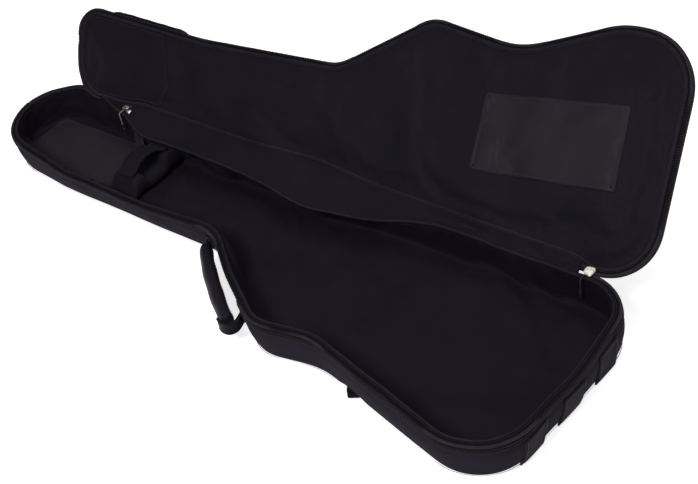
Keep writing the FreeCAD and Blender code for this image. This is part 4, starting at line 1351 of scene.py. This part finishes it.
class BAG_OT_shoulder_straps(Operator):
    """Shoulder straps folded flat under the back, with adjusters and tails"""
    bl_idname = "bag.shoulder_straps"
    bl_label = "Shoulder straps"

    def execute(self, context):
        for side in ("near", "far"):
            pad, adjuster, tail = strap_points(side)
            line = resample(np.array([pad[0], pad[1]]), 0.006)
            line = np.column_stack([line, np.full(len(line), STRAP_Z)])
            run = np.append(pad[1] - pad[0], 0.0)
            run /= np.linalg.norm(run)
            wide = np.array([-run[1], run[0], 0.0])
            t = np.linspace(0, 1, len(line))
            taper = 1 - 0.16 * smooth_step(0.90, 1.0, t) - 0.10 * smooth_step(0.06, 0.0, t)
            across = np.array([-1, -0.985, -0.94, -0.86, -0.80, -0.6, -0.3, 0, 0.3, 0.6, 0.80, 0.86,
                               0.94, 0.985, 1.0])
            high = np.array([0, 0.34, 0.48, 0.52, 0.62, 0.92, 1, 1, 1, 0.92, 0.62, 0.52, 0.48,
                             0.34, 0])
            top = line[:, None] + wide * (across * 0.030)[None, :, None] * taper[:, None, None]
            bottom = top[:, 1:-1][:, ::-1].copy()
            top[..., 2] = STRAP_Z + 0.0039 * high[None]
            bottom[..., 2] = STRAP_Z - 0.0038 * high[1:-1][::-1][None]
            points = np.concatenate([top, bottom], axis=1)
            piece = grid_object("shoulder_strap_" + side + "_pad", points, "strap_mesh", False,
                                True, caps=True)
            ride(piece, "tray", "strap_mesh", "shoulder_strap_" + side)
            parts = []
            for column in (3, 11):
                parts += stitch_line(top[2:-2, column] + np.array([0, 0, 0.0002]),
                                     upward(len(line) - 4))
            for column in (3, 9):
                parts += stitch_line(bottom[2:-2, column] - np.array([0, 0, 0.0001]),
                                     upward(len(line) - 4, -1), lift=0.0)
            sew(piece, "shoulder_strap_" + side, parts)

            stop = tail[1] - (tail[1] - tail[0]) / np.linalg.norm(tail[1] - tail[0]) * 0.007
            begin = adjuster[0] + (adjuster[1] - adjuster[0]) * 0.3
            tail_line = resample(np.array([begin, stop]), 0.002)
            t = np.linspace(0, 1, len(tail_line))
            tail_line = np.column_stack([tail_line, np.full(len(t), 0.0038)])
            run = tail_line[-1] - tail_line[0]
            run /= np.linalg.norm(run)
            fold = [tail_line[-1] + run * (0.0034 * math.sin(a))
                    + np.array([0, 0, 0.0034 * (1 - math.cos(a))])
                    for a in np.linspace(0.35, math.pi * 1.02, 9)]
            back = [fold[-1] - run * d for d in (0.004, 0.009, 0.013)]
            straight = len(tail_line)
            tail_line = np.vstack([tail_line, fold, back])
            wide = np.array([-run[1], run[0], 0.0])
            reach = np.linalg.norm(tail_line - tail_line[straight + 4], axis=1)
            share = 0.50 + 0.50 * np.sqrt(1 - np.clip(1 - reach / 0.011, 0, 1) ** 2)
            web, _ = band("strap_tail_" + side + "_band", tail_line, wide, 0.0026, 0.025, "webbing",
                          share)
            ride(web, "tray", "webbing", "strap_tail_" + side)
            parts = []
            for along in (0.006, 0.011):
                row = (tail_line[straight - 1] - run * along
                       + np.linspace(-0.0105, 0.0105, 9)[:, None] * wide)
                parts += stitch_line(row + np.array([0, 0, 0.0083]), upward(9))
            sew(web, "strap_tail_" + side, parts)

            piece = buckle("strap_adjuster_" + side + "_buckle", adjuster, 0.036, 0.0038)
            ride(piece, "tray", "buckle_plastic", "strap_adjuster_" + side)
        return {"FINISHED"}


def buckle(name, ends, width, height):
    """A ladder buckle: a rounded frame with two slots and a raised grip bar."""
    start, stop = np.append(ends[0], height), np.append(ends[1], height)
    run = stop - start
    length = np.linalg.norm(run)
    run /= length
    wide = np.array([-run[1], run[0], 0.0])
    up = np.array([0, 0, 1.0])
    middle = (start + stop) / 2
    parts = []
    frame_line = []
    corner = 0.005
    for sx, sy in ((1, 1), (-1, 1), (-1, -1), (1, -1)):
        cx, cy = sx * (length / 2 - corner), sy * (width / 2 - corner)
        base = math.atan2(sy, sx) - math.pi / 4
        for a in np.linspace(0, math.pi / 2, 6):
            frame_line.append((cx + corner * math.cos(base + a) * 0.7,
                               cy + corner * math.sin(base + a) * 0.7))
    frame_line = np.array(frame_line)
    line = middle + frame_line[:, :1] * run + frame_line[:, 1:] * wide
    parts.append((tube_points(line, 0.0030, 10, closed=True, flatten=0.9), True, True))
    for along in (-0.3, 0.0, 0.3):
        centre = middle + run * (along * length * 0.62) + up * (0.0006 if along == 0 else 0.0)
        bar_half = wide * (width / 2 - 0.004)
        bar = np.array([centre - bar_half, centre, centre + bar_half])
        radius = 0.0020 if along else 0.0024
        parts.append((tube_points(resample(bar, 0.003), radius, 8), False, True))
    return together(name, parts, "buckle_plastic")


# ---------------------------------------------------------------- sliders and pulls

def pull_cord(name, body, node, points, slot_name="pull_cord"):
    """A thin cord doubled through the slider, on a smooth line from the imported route."""
    data = bpy.data.curves.new(name, "CURVE")
    data.dimensions = "3D"
    spline = data.splines.new("NURBS")
    spline.points.add(len(points) - 1)
    for point, place in zip(spline.points, points):
        point.co = (*place, 1.0)
    spline.order_u = 3
    spline.use_endpoint_u = True
    data.bevel_depth = CORD_RADIUS
    data.bevel_resolution = 3
    data.use_fill_caps = True
    piece = bpy.data.objects.new(name, data)
    bpy.context.scene.collection.objects.link(piece)
    data.materials.append(finish(slot_name))
    ride(piece, body, "pull_cord", node)
    return piece


def slider_body(name, centre, size, post, slot_name="slider_metal"):
    """A cast slider: two lobed plates joined by a post, with a bridge for the pull."""
    length, width, height = size
    parts = []
    plate = height * 0.16
    half = np.array([(-0.46, 0.24), (-0.30, 0.36), (0.0, 0.42), (0.25, 0.50), (0.42, 0.42)])
    outline = np.vstack([(-0.5, 0.0), half, (0.5, 0.0), half[::-1] * (1, -1)])
    loop = outline * (length, width)
    loop = resample(curve_through(np.vstack([loop, loop[:1]]), 0.0012)[:-1], 0.0012, closed=True)
    for level, flip in ((height / 2 - plate, 1), (-height / 2 + plate, -1)):
        rows = []
        for scale, lift in ((0.0, 1.05), (0.45, 1.0), (0.82, 0.82), (0.96, 0.35), (1.0, -0.1),
                            (0.97, -0.75), (0.85, -1.0), (0.0, -1.0)):
            ring = loop * scale
            rows.append(np.column_stack([ring, np.full(len(ring), level + flip * lift * plate)]))
        parts.append((np.array(rows) + np.array(centre), False, True))
    post_line = np.array([[*post, -height / 2 + plate], [*post, height / 2 - plate]])
    parts.append((tube_points(resample(post_line + np.array(centre), 0.001), height * 0.16, 10,
                              up=(1, 0, 0)), False, True))
    arch = []
    for a in np.linspace(0, np.pi, 13):
        arch.append((length * 0.30 * math.cos(a), 0.0,
                     height / 2 - plate * 0.5 + height * 0.16 * math.sin(a)))
    arch = resample(np.array(arch) + np.array(centre), 0.0008)
    wide = 0.0011 + 0.0010 * np.sin(np.linspace(0, np.pi, len(arch)))
    parts.append((tube_points(arch, wide, 10, flatten=0.5, up=(0, 1, 0)), False, True))
    return together(name, parts, slot_name)


class BAG_OT_sliders(Operator):
    """Cast sliders of the main zipper and of the two pockets"""
    bl_idname = "bag.sliders"
    bl_label = "Sliders"

    def execute(self, context):
        for name in ("head_slider", "end_slider"):
            low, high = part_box(name)
            centre = (low + high) / 2
            sign = 1 if name == "head_slider" else -1
            grow = (0.8, 0.85, 0.85) if name == "head_slider" else (0.92, 1.6, 1.30)
            centre.x += 0.0 if name == "head_slider" else 0.0045
            size = tuple(s * g for s, g in zip(high - low, grow))
            # the end slider's near-white finish is a painted highlight for the glare on its
            # polished metal
            piece = slider_body(name + "_casting", tuple(centre), size, (sign * 0.0045, -0.0030),
                                "head_slider_metal" if name == "head_slider" else "slider_painted_glint")
            ride(piece, name, "slider_metal", name)
        for name in ("body_pocket_slider", "neck_pocket_slider"):
            swing = JOINTS[name.replace("slider", "pull_swing")]
            shut = about_hinge(OPEN_ANGLE) @ Vector(swing["pos_m"])
            centre = (shut.x, shut.y, shut.z - 0.0037)
            piece = slider_body(name + "_casting", centre, (0.011, 0.009, 0.0040), (-0.002, 0.0))
            opened(piece)
            ride(piece, name, "slider_metal", name)
        return {"FINISHED"}


class BAG_OT_pulls(Operator):
    """Cord pulls, each with a moulded end"""
    bl_idname = "bag.pulls"
    bl_label = "Pulls"

    def execute(self, context):
        for name in ("head_pull", "end_pull"):
            start = Vector(JOINTS[name + "_swing"]["pos_m"])
            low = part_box(name)[0]
            y_drop = low.y + 0.0012
            route = [start, start + Vector((0, -0.0045, 0)), Vector((start.x, y_drop, start.z)),
                     Vector((start.x, y_drop, start.z - 0.008)),
                     Vector((start.x, y_drop, low.z + 0.0002))]
            cord = pull_cord(name + "_cord", name, name, route,
                             "pale_cord" if name == "head_pull" else "pull_cord")
            line = np.array([[start.x, y_drop, low.z + 0.0115], [start.x, y_drop, low.z + 0.0015]])
            end = end_grip(name + "_end", line)
            ride(end, name, "buckle_plastic")
        for name in ("body_pocket_pull", "neck_pocket_pull"):
            start = Vector(JOINTS[name + "_swing"]["pos_m"])
            route = [start + Vector((x, 0, 0)) for x in (0.0, 0.008, 0.016, 0.023, 0.030)]
            cord = pull_cord(name + "_cord", name, name, route)
            line = np.array([tuple(start + Vector((x, 0, 0))) for x in (0.0195, 0.0290)])
            end = end_grip(name + "_end", line)
            ride(end, name, "buckle_plastic")
        return {"FINISHED"}


def end_grip(name, line):
    """A moulded end for a pull, ribbed and rounded at both tips."""
    line = resample(line, 0.0006)
    t = np.linspace(0, 1, len(line))
    radius = 0.00185 * np.clip(np.sin(np.pi * np.clip(t * 0.94 + 0.03, 0, 1)), 0, 1) ** 0.28
    radius = radius + 0.00010 * np.cos(t * 2 * np.pi * 5)
    run = line[-1] - line[0]
    up = (1, 0, 0) if abs(run[0]) < np.linalg.norm(run) * 0.5 else (0, 0, 1)
    points = tube_points(line, radius, 14, up=up)
    return grid_object(name, points, "buckle_plastic", False, True, caps=True)


# ---------------------------------------------------------------- the lid, built shut

LID_TOP = LID_EDGE_Z + 17.6 * MM


def hinge_tuck(edge):
    """How far the soft lid draws in from the hinge, where the gusset joins it."""
    free = smooth_step(0.0, 0.05, HINGE.y - edge.y)
    part = window(-0.46, -0.38, 0.50, 0.56, edge.x)
    return (1 - free) * part * (0.010 + 0.008 * np.exp(-((edge.x - 0.02) / 0.09) ** 2))


def lid_places(edge, out, z, tucked=False, rows=None):
    """Points of the shut lid, bent and folded; tucked ones draw in from the hinge."""
    rows = np.arange(edge.count) if rows is None else rows
    points = edge.flat(out, z, rows)
    if tucked:
        tuck = hinge_tuck(edge)[rows]
        points[..., :2] -= (edge.normal[rows] * tuck[:, None])[:, None]
    soft = smooth_step(0.0, 0.03, HINGE.y - points[..., 1])
    points[..., 2] += lid_rise(points[..., 0], points[..., 1]) * soft * 0.9
    return points


class BAG_OT_lid_padding(Operator):
    """Padded lid in the woven outer cloth, with its narrow outer band"""
    bl_idname = "bag.lid_padding"
    bl_label = "Lid padding"

    def execute(self, context):
        edge = lid_edge()
        s = sizes()
        low = LID_EDGE_Z
        out = np.array([-12.5, -11.0, -7, -3, -1.2, -0.2, 0.9, 1.4, 1.0, 0.0, -1.2, -3.4, -5.2, -8,
                        -13, -20, -28, -38]) * MM
        rise = np.array([2.6, 1.4, 1.2, 1.4, 3.0, 4.6, 6.6, 9.5, 12.0, 14.4, 15.8, 16.4, 17.2, 18.6,
                         20.2, 21.4, 22.2, 22.6]) * MM
        points = lid_places(edge, out, low + rise)
        inner, faces = filled(points[:, -1, :2], 0.014)
        count = edge.count
        x, y = inner[count:, 0], inner[count:, 1]
        top = low + 22.6 * MM
        dome = smooth_step(0.036, 0.10, distance_inside(edge, x, y))
        heights = top + s.lid_crown * 0.35 * dome + lid_rise(x, y) * 0.9
        heights += 0.0012 * np.sin(x * 33.0) * np.sin(y * 27.0 + x * 9.0) * dome
        vertices, polygons = ring_and_fill(points, inner, faces, heights)
        vertices[:, 2] -= 0.0045 * smooth_step(low + 0.012, low + 0.022, vertices[:, 2])
        piece = make_object("lid_padding", vertices, polygons, "shell_fabric")
        keep_surface("lid_padding", piece)
        ride_lid(piece, "shell_fabric", "lid_shell", "lid_foam", "lid_band")
        line = lid_places(edge, [-2.2 * MM], [low + 16.2 * MM])[:, 0]
        ride_lid(cord_along("lid_outer_piping_cord", line, s.piping), "piping", "lid_outer_piping")
        return {"FINISHED"}


class BAG_OT_lid_zipper(Operator):
    """Zipper tape and teeth round the lid"""
    bl_idname = "bag.lid_zipper"
    bl_label = "Lid zipper"

    def execute(self, context):
        edge = lid_edge()
        low = LID_EDGE_Z

        def place(out, z, rows):
            return lid_places(edge, out, z, rows=rows)
        tape_out = np.array([-1.0, 0.9, 0.9, 0.2, -1.0, -5.0, -5.0, -1.4]) * MM
        tape_z = low + np.array([7.0, 6.6, 2.4, 0.9, 0.2, 0.2, 1.4, 1.6]) * MM
        zipper_part("lid_zipper", edge, place, tape_out, tape_z, [-1.4 * MM], [low + 0.5 * MM], -1,
                    "lid", ["lid_zipper_tape", "lid_zipper_coil"], True)
        return {"FINISHED"}


class BAG_OT_lid_rim(Operator):
    """Binding and inner piping round the inside of the lid"""
    bl_idname = "bag.lid_rim"
    bl_label = "Lid rim"

    def execute(self, context):
        edge = lid_edge()
        low = LID_EDGE_Z
        out = np.array([-4.4, -5.0, -6.2, -7.8, -8.6, -7.8, -6.2, -4.6]) * MM
        z = low + np.array([0.9, 0.3, 0.2, 0.4, 1.8, 2.6, 2.6, 2.3]) * MM
        binding = grid_object("lid_rim_binding_cloth", lid_places(edge, out, z, True),
                              "zipper_tape", True, True)
        ride_lid(binding, "shell_fabric")
        line = lid_places(edge, [-8.9 * MM], [low + 0.8 * MM], True)[:, 0]
        wave = 0.0003 * np.sin(edge.s * 240.0)
        piping = cord_along("lid_inner_piping_cord", line, sizes().piping + wave)
        ride_lid(piping, "piping", "lid_inner_piping")
        seam_line = lid_places(edge, [-6.4 * MM], [low + 0.05 * MM], True)[:, 0]
        parts = stitch_line(seam_line, upward(edge.count, -1), closed=True)
        sew(binding, "lid_rim_binding", parts, turn=True)
        return {"FINISHED"}


class BAG_OT_lid_lining(Operator):
    """Soft lining inside the lid"""
    bl_idname = "bag.lid_lining"
    bl_label = "Lid lining"

    def execute(self, context):
        edge = lid_edge()
        low = LID_EDGE_Z
        out = np.array([-9.6, -11.4, -14.6, -19.0, -25.0, -31.0, -38.0]) * MM
        rise = np.array([3.0, 3.0, 2.6, 1.9, 1.1, 0.3, -0.5]) * MM
        points = lid_places(edge, out, low + rise, True)
        inner, faces = filled(points[:, -1, :2], 0.0095)
        count = edge.count
        x, y = inner[count:, 0], inner[count:, 1]
        dome = smooth_step(0.036, 0.11, distance_inside(edge, x, y))
        heights = low - 0.5 * MM - sizes().lid_crown * 0.5 * dome + lid_rise(x, y) * 0.9
        heights += 0.0009 * np.sin(x * 43.0 + y * 17.0) * np.sin(y * 31.0 - x * 13.0)
        vertices, polygons = ring_and_fill(points, inner, faces, heights)
        piece = make_object("lid_lining_cloth", vertices, polygons, "lining_fabric")
        places = coordinates(piece)
        held = np.full(len(places), 0.04)
        held[:count * len(out)] = np.tile([1.0, 1.0, 0.9, 0.5, 0.2, 0.1, 0.05], count)
        settle(piece, held, sizes().wrinkle_growth, 0.0045)
        keep_surface("lid_lining", piece)
        subdivide(piece)
        ride_lid(piece, "lining_fabric", "lid_lining")
        return {"FINISHED"}


def on_lid_inside(x, y):
    """Height of the shut lid's lining, seen from below."""
    return height_on("lid_lining", x, y, 0.02, 1, LID_EDGE_Z)


def on_lid_outside(x, y):
    """Height of the shut lid's padding, seen from above."""
    return height_on("lid_padding", x, y, 0.20, -1, LID_TOP)


# The slanting free edge of the patch over the head, from near to far.
HEAD_PATCH_Y = [0.019, 0.070, 0.122, 0.172]
HEAD_PATCH_X = [-0.393, -0.364, -0.338, -0.322]


class BAG_OT_lid_patches(Operator):
    """Wear patches sewn inside the lid, over the bridge and over the head"""
    bl_idname = "bag.lid_patches"
    bl_label = "Lid patches"

    def execute(self, context):
        bridge = [(0.286, -0.028), (0.518, -0.064), (0.538, 0.062), (0.301, 0.094)]
        piece, seam = patch("lid_bridge_cloth", bridge, 0.0035, on_lid_inside, -1, 0.0013,
                            "wear_cloth")
        finish_pair(piece, seam, "lid", "wear_cloth", ["lid_bridge_patch"], turn=True)
        edge = lid_edge()
        loop = lid_places(edge, [-11.6 * MM], [0.0], True)[:, 0, :2]
        kept = []
        for px, py in loop[np.argsort(np.arctan2(loop[:, 1] - 0.10, loop[:, 0] + 0.36))]:
            if px < np.interp(py, HEAD_PATCH_Y, HEAD_PATCH_X):
                kept.append((px, py))
        kept = kept[::4]
        kept.sort(key=lambda p: math.atan2(p[1] - 0.10, p[0] + 0.45))
        start = max(range(len(kept)), key=lambda i: kept[i][0] if kept[i][1] < 0.10 else -9)
        corners = kept[start:] + kept[:start]
        corners += [(HEAD_PATCH_X[k], HEAD_PATCH_Y[k]) for k in (2, 1)]
        corners.sort(key=lambda p: math.atan2(p[1] - 0.10, p[0] + 0.45))
        # its finish is a darkened copy at the lining's tone: painted shade over a wear patch
        piece, seam = patch("lid_head_cloth", corners, 0.006, on_lid_inside, -1, 0.0012,
                            "head_wear_painted_shade")
        finish_pair(piece, seam, "lid", "wear_cloth", ["lid_head_patch"], turn=True)
        return {"FINISHED"}


class BAG_OT_pockets(Operator):
    """Two padded pockets on the outside of the lid, with their zippers"""
    bl_idname = "bag.pockets"
    bl_label = "Pockets"

    def execute(self, context):
        shapes = {"body_pocket": (0.170, 0.560, -0.100, 0.128, 0.026),
                  "neck_pocket": (-0.562, -0.352, 0.012, 0.150, 0.013)}
        for name, (x0, x1, y0, y1, thick) in shapes.items():
            corners = [(x0, y0), (x1, y0), (x1, y1), (x0, y1)]
            ring, normal = rounded_polygon(corners, 0.030, 0.006)
            count = len(ring)
            base = on_lid_outside(ring[:, 0], ring[:, 1])
            top = LID_TOP + thick - 0.0004
            base = np.clip(base, LID_TOP - 0.010, LID_TOP + 0.006)
            insets = np.array([0.6, 0.2, -0.4, -0.8, -0.4, 0.2, 1.0, 2.0, 4.5, 9.0, 16.0]) * MM
            shares = np.array([-0.10, 0.12, 0.35, 0.58, 0.78, 0.885, 0.925, 0.955, 0.975, 0.99,
                               1.0])
            rows = []
            wave = np.sin(np.arange(count) * 0.9) * 0.0007
            for d, share in zip(insets, shares):
                swell = math.sin(math.pi * min(max(share, 0), 1))
                flat = ring - normal * (d + wave * swell)[:, None]
                rows.append(np.column_stack([flat, base + (top - base) * share]))
            points = np.stack(rows, 1)
            inner, faces = filled(points[:, -1, :2], 0.011)
            x, y = inner[count:, 0], inner[count:, 1]
            zip_y = y0 + 0.034
            level = np.full(len(x), top)
            inset_x = np.minimum(x - x0, x1 - x) - 0.016
            inset_y = np.minimum(y - y0, y1 - y) - 0.016
            crown = smooth_step(0.0, 0.06, np.minimum(inset_x, inset_y))
            crown = crown * smooth_step(0.016, 0.05, np.abs(y - zip_y))
            level = level + 0.0060 * crown
            vertices, polygons = ring_and_fill(points, inner, faces, level)
            piece = make_object(name + "_cloth", vertices, polygons, "shell_fabric")
            places = coordinates(piece)
            held = np.full(len(places), 0.05)
            firm = [1, 0.6, 0.2, 0.2, 0.5, 1, 1, 1, 0.5, 0.2, 0.1]
            held[:count * len(insets)] = np.tile(firm, count)
            held[(np.abs(places[:, 1] - zip_y) < 0.016) & (places[:, 2] > top - 0.002)] = 1.0
            settle(piece, held, 0.012, 0.0035, pressure=1.0)
            keep_surface(name, piece)
            subdivide(piece)
            ride_lid(piece, "shell_fabric", name)
            seam_line = ring - normal * 0.0008
            cord = np.column_stack([seam_line, base + (top - base) * 0.915 + 0.0006])
            ride_lid(cord_along(name + "_piping", cord, 0.0019), "piping")
            self.add_zipper(name, x0 + 0.022, x1 - 0.022, zip_y, top)
        return {"FINISHED"}

    def add_zipper(self, name, x0, x1, y, top):
        line = np.column_stack([np.linspace(x0, x1, 90), np.full(90, y), np.full(90, top)])
        profile_y = np.array([-13, -12.6, -11, -6, -2.4, -2.0, 2.0, 2.4, 6, 11, 12.6, 13, 12,
                              -12]) * MM
        profile_z = np.array([0.1, 0.7, 1.0, 1.1, 1.2, 0.8, 0.8, 1.2, 1.1, 1.0, 0.7, 0.1, -0.3,
                              -0.3]) * MM
        points = line[:, None] + np.stack([0 * profile_y, profile_y, profile_z], 1)[None]
        tape = grid_object(name + "_zipper_tape", points, "zipper_tape", False, True, caps=True)
        ride_lid(tape, "zipper_tape", name + "_zipper")
        place = resample(line + np.array([0, 0, 0.9 * MM]), sizes().tooth_pitch)
        across = np.tile([0.0, 1.0, 0.0], (len(place), 1))
        parts = teeth(place, across, upward(len(place)), height=0.0014)
        rib = together(name + "_zipper_teeth", parts, "zipper_coil")
        opened(rib)
        rib.parent = tape
        parts = []
        for side in (-1, 1):
            for off in (8.2, 11.4):
                row = line + np.array([0, side * off * MM, 1.05 * MM])
                parts += stitch_line(row, upward(len(row)))
        sew(tape, name + "_zipper", parts, turn=True)


class BAG_OT_hinge_gusset(Operator):
    """Loose cloth that joins the tray to the lid along the hinge"""
    bl_idname = "bag.hinge_gusset"
    bl_label = "Hinge gusset"

    def execute(self, context):
        tray = tray_edge()
        lid = lid_edge()
        turn = np.array(about_hinge(-OPEN_ANGLE).to_3x3())
        x = np.linspace(ZIP_HEAD_X + 0.012, ZIP_END_X - 0.012, 190)

        def side(edge, points):
            on_hinge = np.nonzero((edge.y > HINGE.y - 0.004) & (edge.x > ZIP_HEAD_X - 0.02)
                                  & (edge.x < ZIP_END_X + 0.02))[0]
            order = on_hinge[np.argsort(points[on_hinge, 0])]
            return np.column_stack([np.interp(x, points[order, 0], points[order, k])
                                    for k in range(3)])
        near = side(tray, tray.wall([-6.5 * MM], [80.2 * MM])[:, 0])
        far = side(lid, lid_places(lid, [-7.0 * MM], [LID_EDGE_Z + 0.1 * MM], True)[:, 0])
        hinge = np.array(HINGE)
        far = (far - hinge) @ turn.T + hinge
        middle = np.column_stack([x, np.full(len(x), HINGE.y - 0.001),
                                  np.full(len(x), HINGE.z - 0.004)])
        rows = []
        for i in range(len(x)):
            wave = 0.0010 * math.sin(x[i] * 23.0) + 0.0006 * math.sin(x[i] * 57.0 + 1.0)
            line = []
            for t in np.linspace(0, 1, 17):
                p = (1 - t) ** 2 * near[i] + 2 * t * (1 - t) * middle[i] + t ** 2 * far[i]
                fold = math.sin(math.pi * t)
                p = p + np.array([0, 0, -0.0014 * fold + wave * fold * math.sin(2.2 * math.pi * t)])
                line.append(p)
            rows.append(line)
        points = np.array(rows)
        piece = grid_object("hinge_gusset", points, "lining_fabric")
        solidify(piece, 0.0008, 0.0)
        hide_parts("hinge_strip_tray", "hinge_strip_lid")
        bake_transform(piece)
        return {"FINISHED"}


# ---------------------------------------------------------------- stage

LENS_MM = 62.043
CAMERA_PLACE = (1.1649, -0.9431, 1.3154)
CAMERA_FORWARD = (-0.5245, 0.5418, -0.6567)
CAMERA_UP = (-0.3059, 0.5999, 0.7393)


def area_lamp(name, place, target, size, power):
    """A rectangular lamp at a place, facing a target."""
    data = bpy.data.lights.new(name, "AREA")
    data.shape = "RECTANGLE"
    data.size, data.size_y = size
    data.energy = power
    lamp = bpy.data.objects.new(name, data)
    bpy.context.scene.collection.objects.link(lamp)
    lamp.location = place
    lamp.rotation_euler = (Vector(target) - Vector(place)).to_track_quat("-Z", "Y").to_euler()


class BAG_OT_stage(Operator):
    """White floor, soft studio lamps and the camera"""
    bl_idname = "bag.stage"
    bl_label = "Stage"

    def execute(self, context):
        scene = context.scene
        bm = bmesh.new()
        bmesh.ops.create_grid(bm, x_segments=8, y_segments=8, size=14.0)
        mesh = bpy.data.meshes.new("studio_floor")
        bm.to_mesh(mesh)
        bm.free()
        floor = bpy.data.objects.new("studio_floor", mesh)
        scene.collection.objects.link(floor)
        floor.location.z = -0.0004
        n = Nodes("studio_floor")
        path = n.add("ShaderNodeLightPath").outputs
        seen = n.math("MAXIMUM", path["Is Camera Ray"],
                      n.math("MAXIMUM", path["Is Glossy Ray"], path["Is Transmission Ray"]))
        n.fix({"Base Color": (0.80, 0.80, 0.80, 1.0), "Roughness": 0.9,
               "Emission Color": (1.0, 1.0, 1.0, 1.0)})
        n.join("Emission Strength", n.math("MULTIPLY", seen, 0.75))
        mesh.materials.append(n.material)

        world = bpy.data.worlds.new("studio_air")
        world.use_nodes = True
        scene.world = world
        tree = world.node_tree
        sky = tree.nodes["Background"]
        path = tree.nodes.new("ShaderNodeLightPath")
        glossy = tree.nodes.new("ShaderNodeMath")
        glossy.operation = "MAXIMUM"
        tree.links.new(path.outputs["Is Camera Ray"], glossy.inputs[0])
        tree.links.new(path.outputs["Is Transmission Ray"], glossy.inputs[1])
        level = tree.nodes.new("ShaderNodeMapRange")
        tree.links.new(glossy.outputs[0], level.inputs[0])
        level.inputs[3].default_value = 0.24
        level.inputs[4].default_value = 1.0
        tree.links.new(level.outputs[0], sky.inputs["Strength"])
        sky.inputs["Color"].default_value = (1.0, 1.0, 1.0, 1.0)

        area_lamp("key_lamp", (0.30, -1.70, 2.25), (0.05, 0.05, 0.05), (0.9, 0.7), 46)
        area_lamp("top_lamp", (0.5, 0.8, 2.6), (0.1, 0.1, 0.05), (2.4, 1.4), 22)
        area_lamp("side_lamp", (2.4, -0.4, 1.4), (0.2, 0.1, 0.05), (1.0, 1.0), 4)

        data = bpy.data.cameras.new("camera")
        data.lens = LENS_MM
        data.sensor_width = 36.0
        data.clip_end = 50.0
        camera = bpy.data.objects.new("camera", data)
        scene.collection.objects.link(camera)
        forward = Vector(CAMERA_FORWARD).normalized()
        up = Vector(CAMERA_UP)
        right = forward.cross(up).normalized()
        up = right.cross(forward)
        turn = Matrix((right, up, -forward)).transposed()
        camera.matrix_world = Matrix.Translation(CAMERA_PLACE) @ turn.to_4x4()
        scene.camera = camera
        scene.view_settings.view_transform = "Standard"
        return {"FINISHED"}


OPERATORS = (BAG_OT_tray_padding, BAG_OT_tray_zipper, BAG_OT_tray_rim, BAG_OT_tray_lining,
             BAG_OT_floor_patch, BAG_OT_neck_cradle, BAG_OT_neck_strap, BAG_OT_end_bumpers,
             BAG_OT_handle, BAG_OT_shoulder_straps, BAG_OT_lid_padding, BAG_OT_lid_zipper,
             BAG_OT_lid_rim, BAG_OT_lid_lining, BAG_OT_lid_patches, BAG_OT_pockets,
             BAG_OT_hinge_gusset, BAG_OT_sliders, BAG_OT_pulls, BAG_OT_stage)


class BAG_PT_panel(Panel):
    """Sizes, colours and steps of the gig bag"""
    bl_idname = "BAG_PT_panel"
    bl_label = "Gig bag"
    bl_space_type = "VIEW_3D"
    bl_region_type = "UI"
    bl_category = "Gig bag"

    def draw(self, context):
        layout = self.layout
        for group in (context.scene.bag_sizes, context.scene.bag_colours):
            box = layout.box()
            for name in group.__annotations__:
                box.prop(group, name)
        for operator in OPERATORS:
            layout.operator(operator.bl_idname)


CLASSES = (BagSizes, BagColours, *OPERATORS, BAG_PT_panel)


def register():
    for item in CLASSES:
        bpy.utils.register_class(item)
    bpy.types.Scene.bag_sizes = PointerProperty(type=BagSizes)
    bpy.types.Scene.bag_colours = PointerProperty(type=BagColours)


def unregister():
    del bpy.types.Scene.bag_colours
    del bpy.types.Scene.bag_sizes
    for item in reversed(CLASSES):
        bpy.utils.unregister_class(item)


def main():
    """Builds the bag step by step."""
    register()
    for operator in OPERATORS:
        group, name = operator.bl_idname.split(".")
        getattr(getattr(bpy.ops, group), name)()


if __name__ == "__main__":
    main()
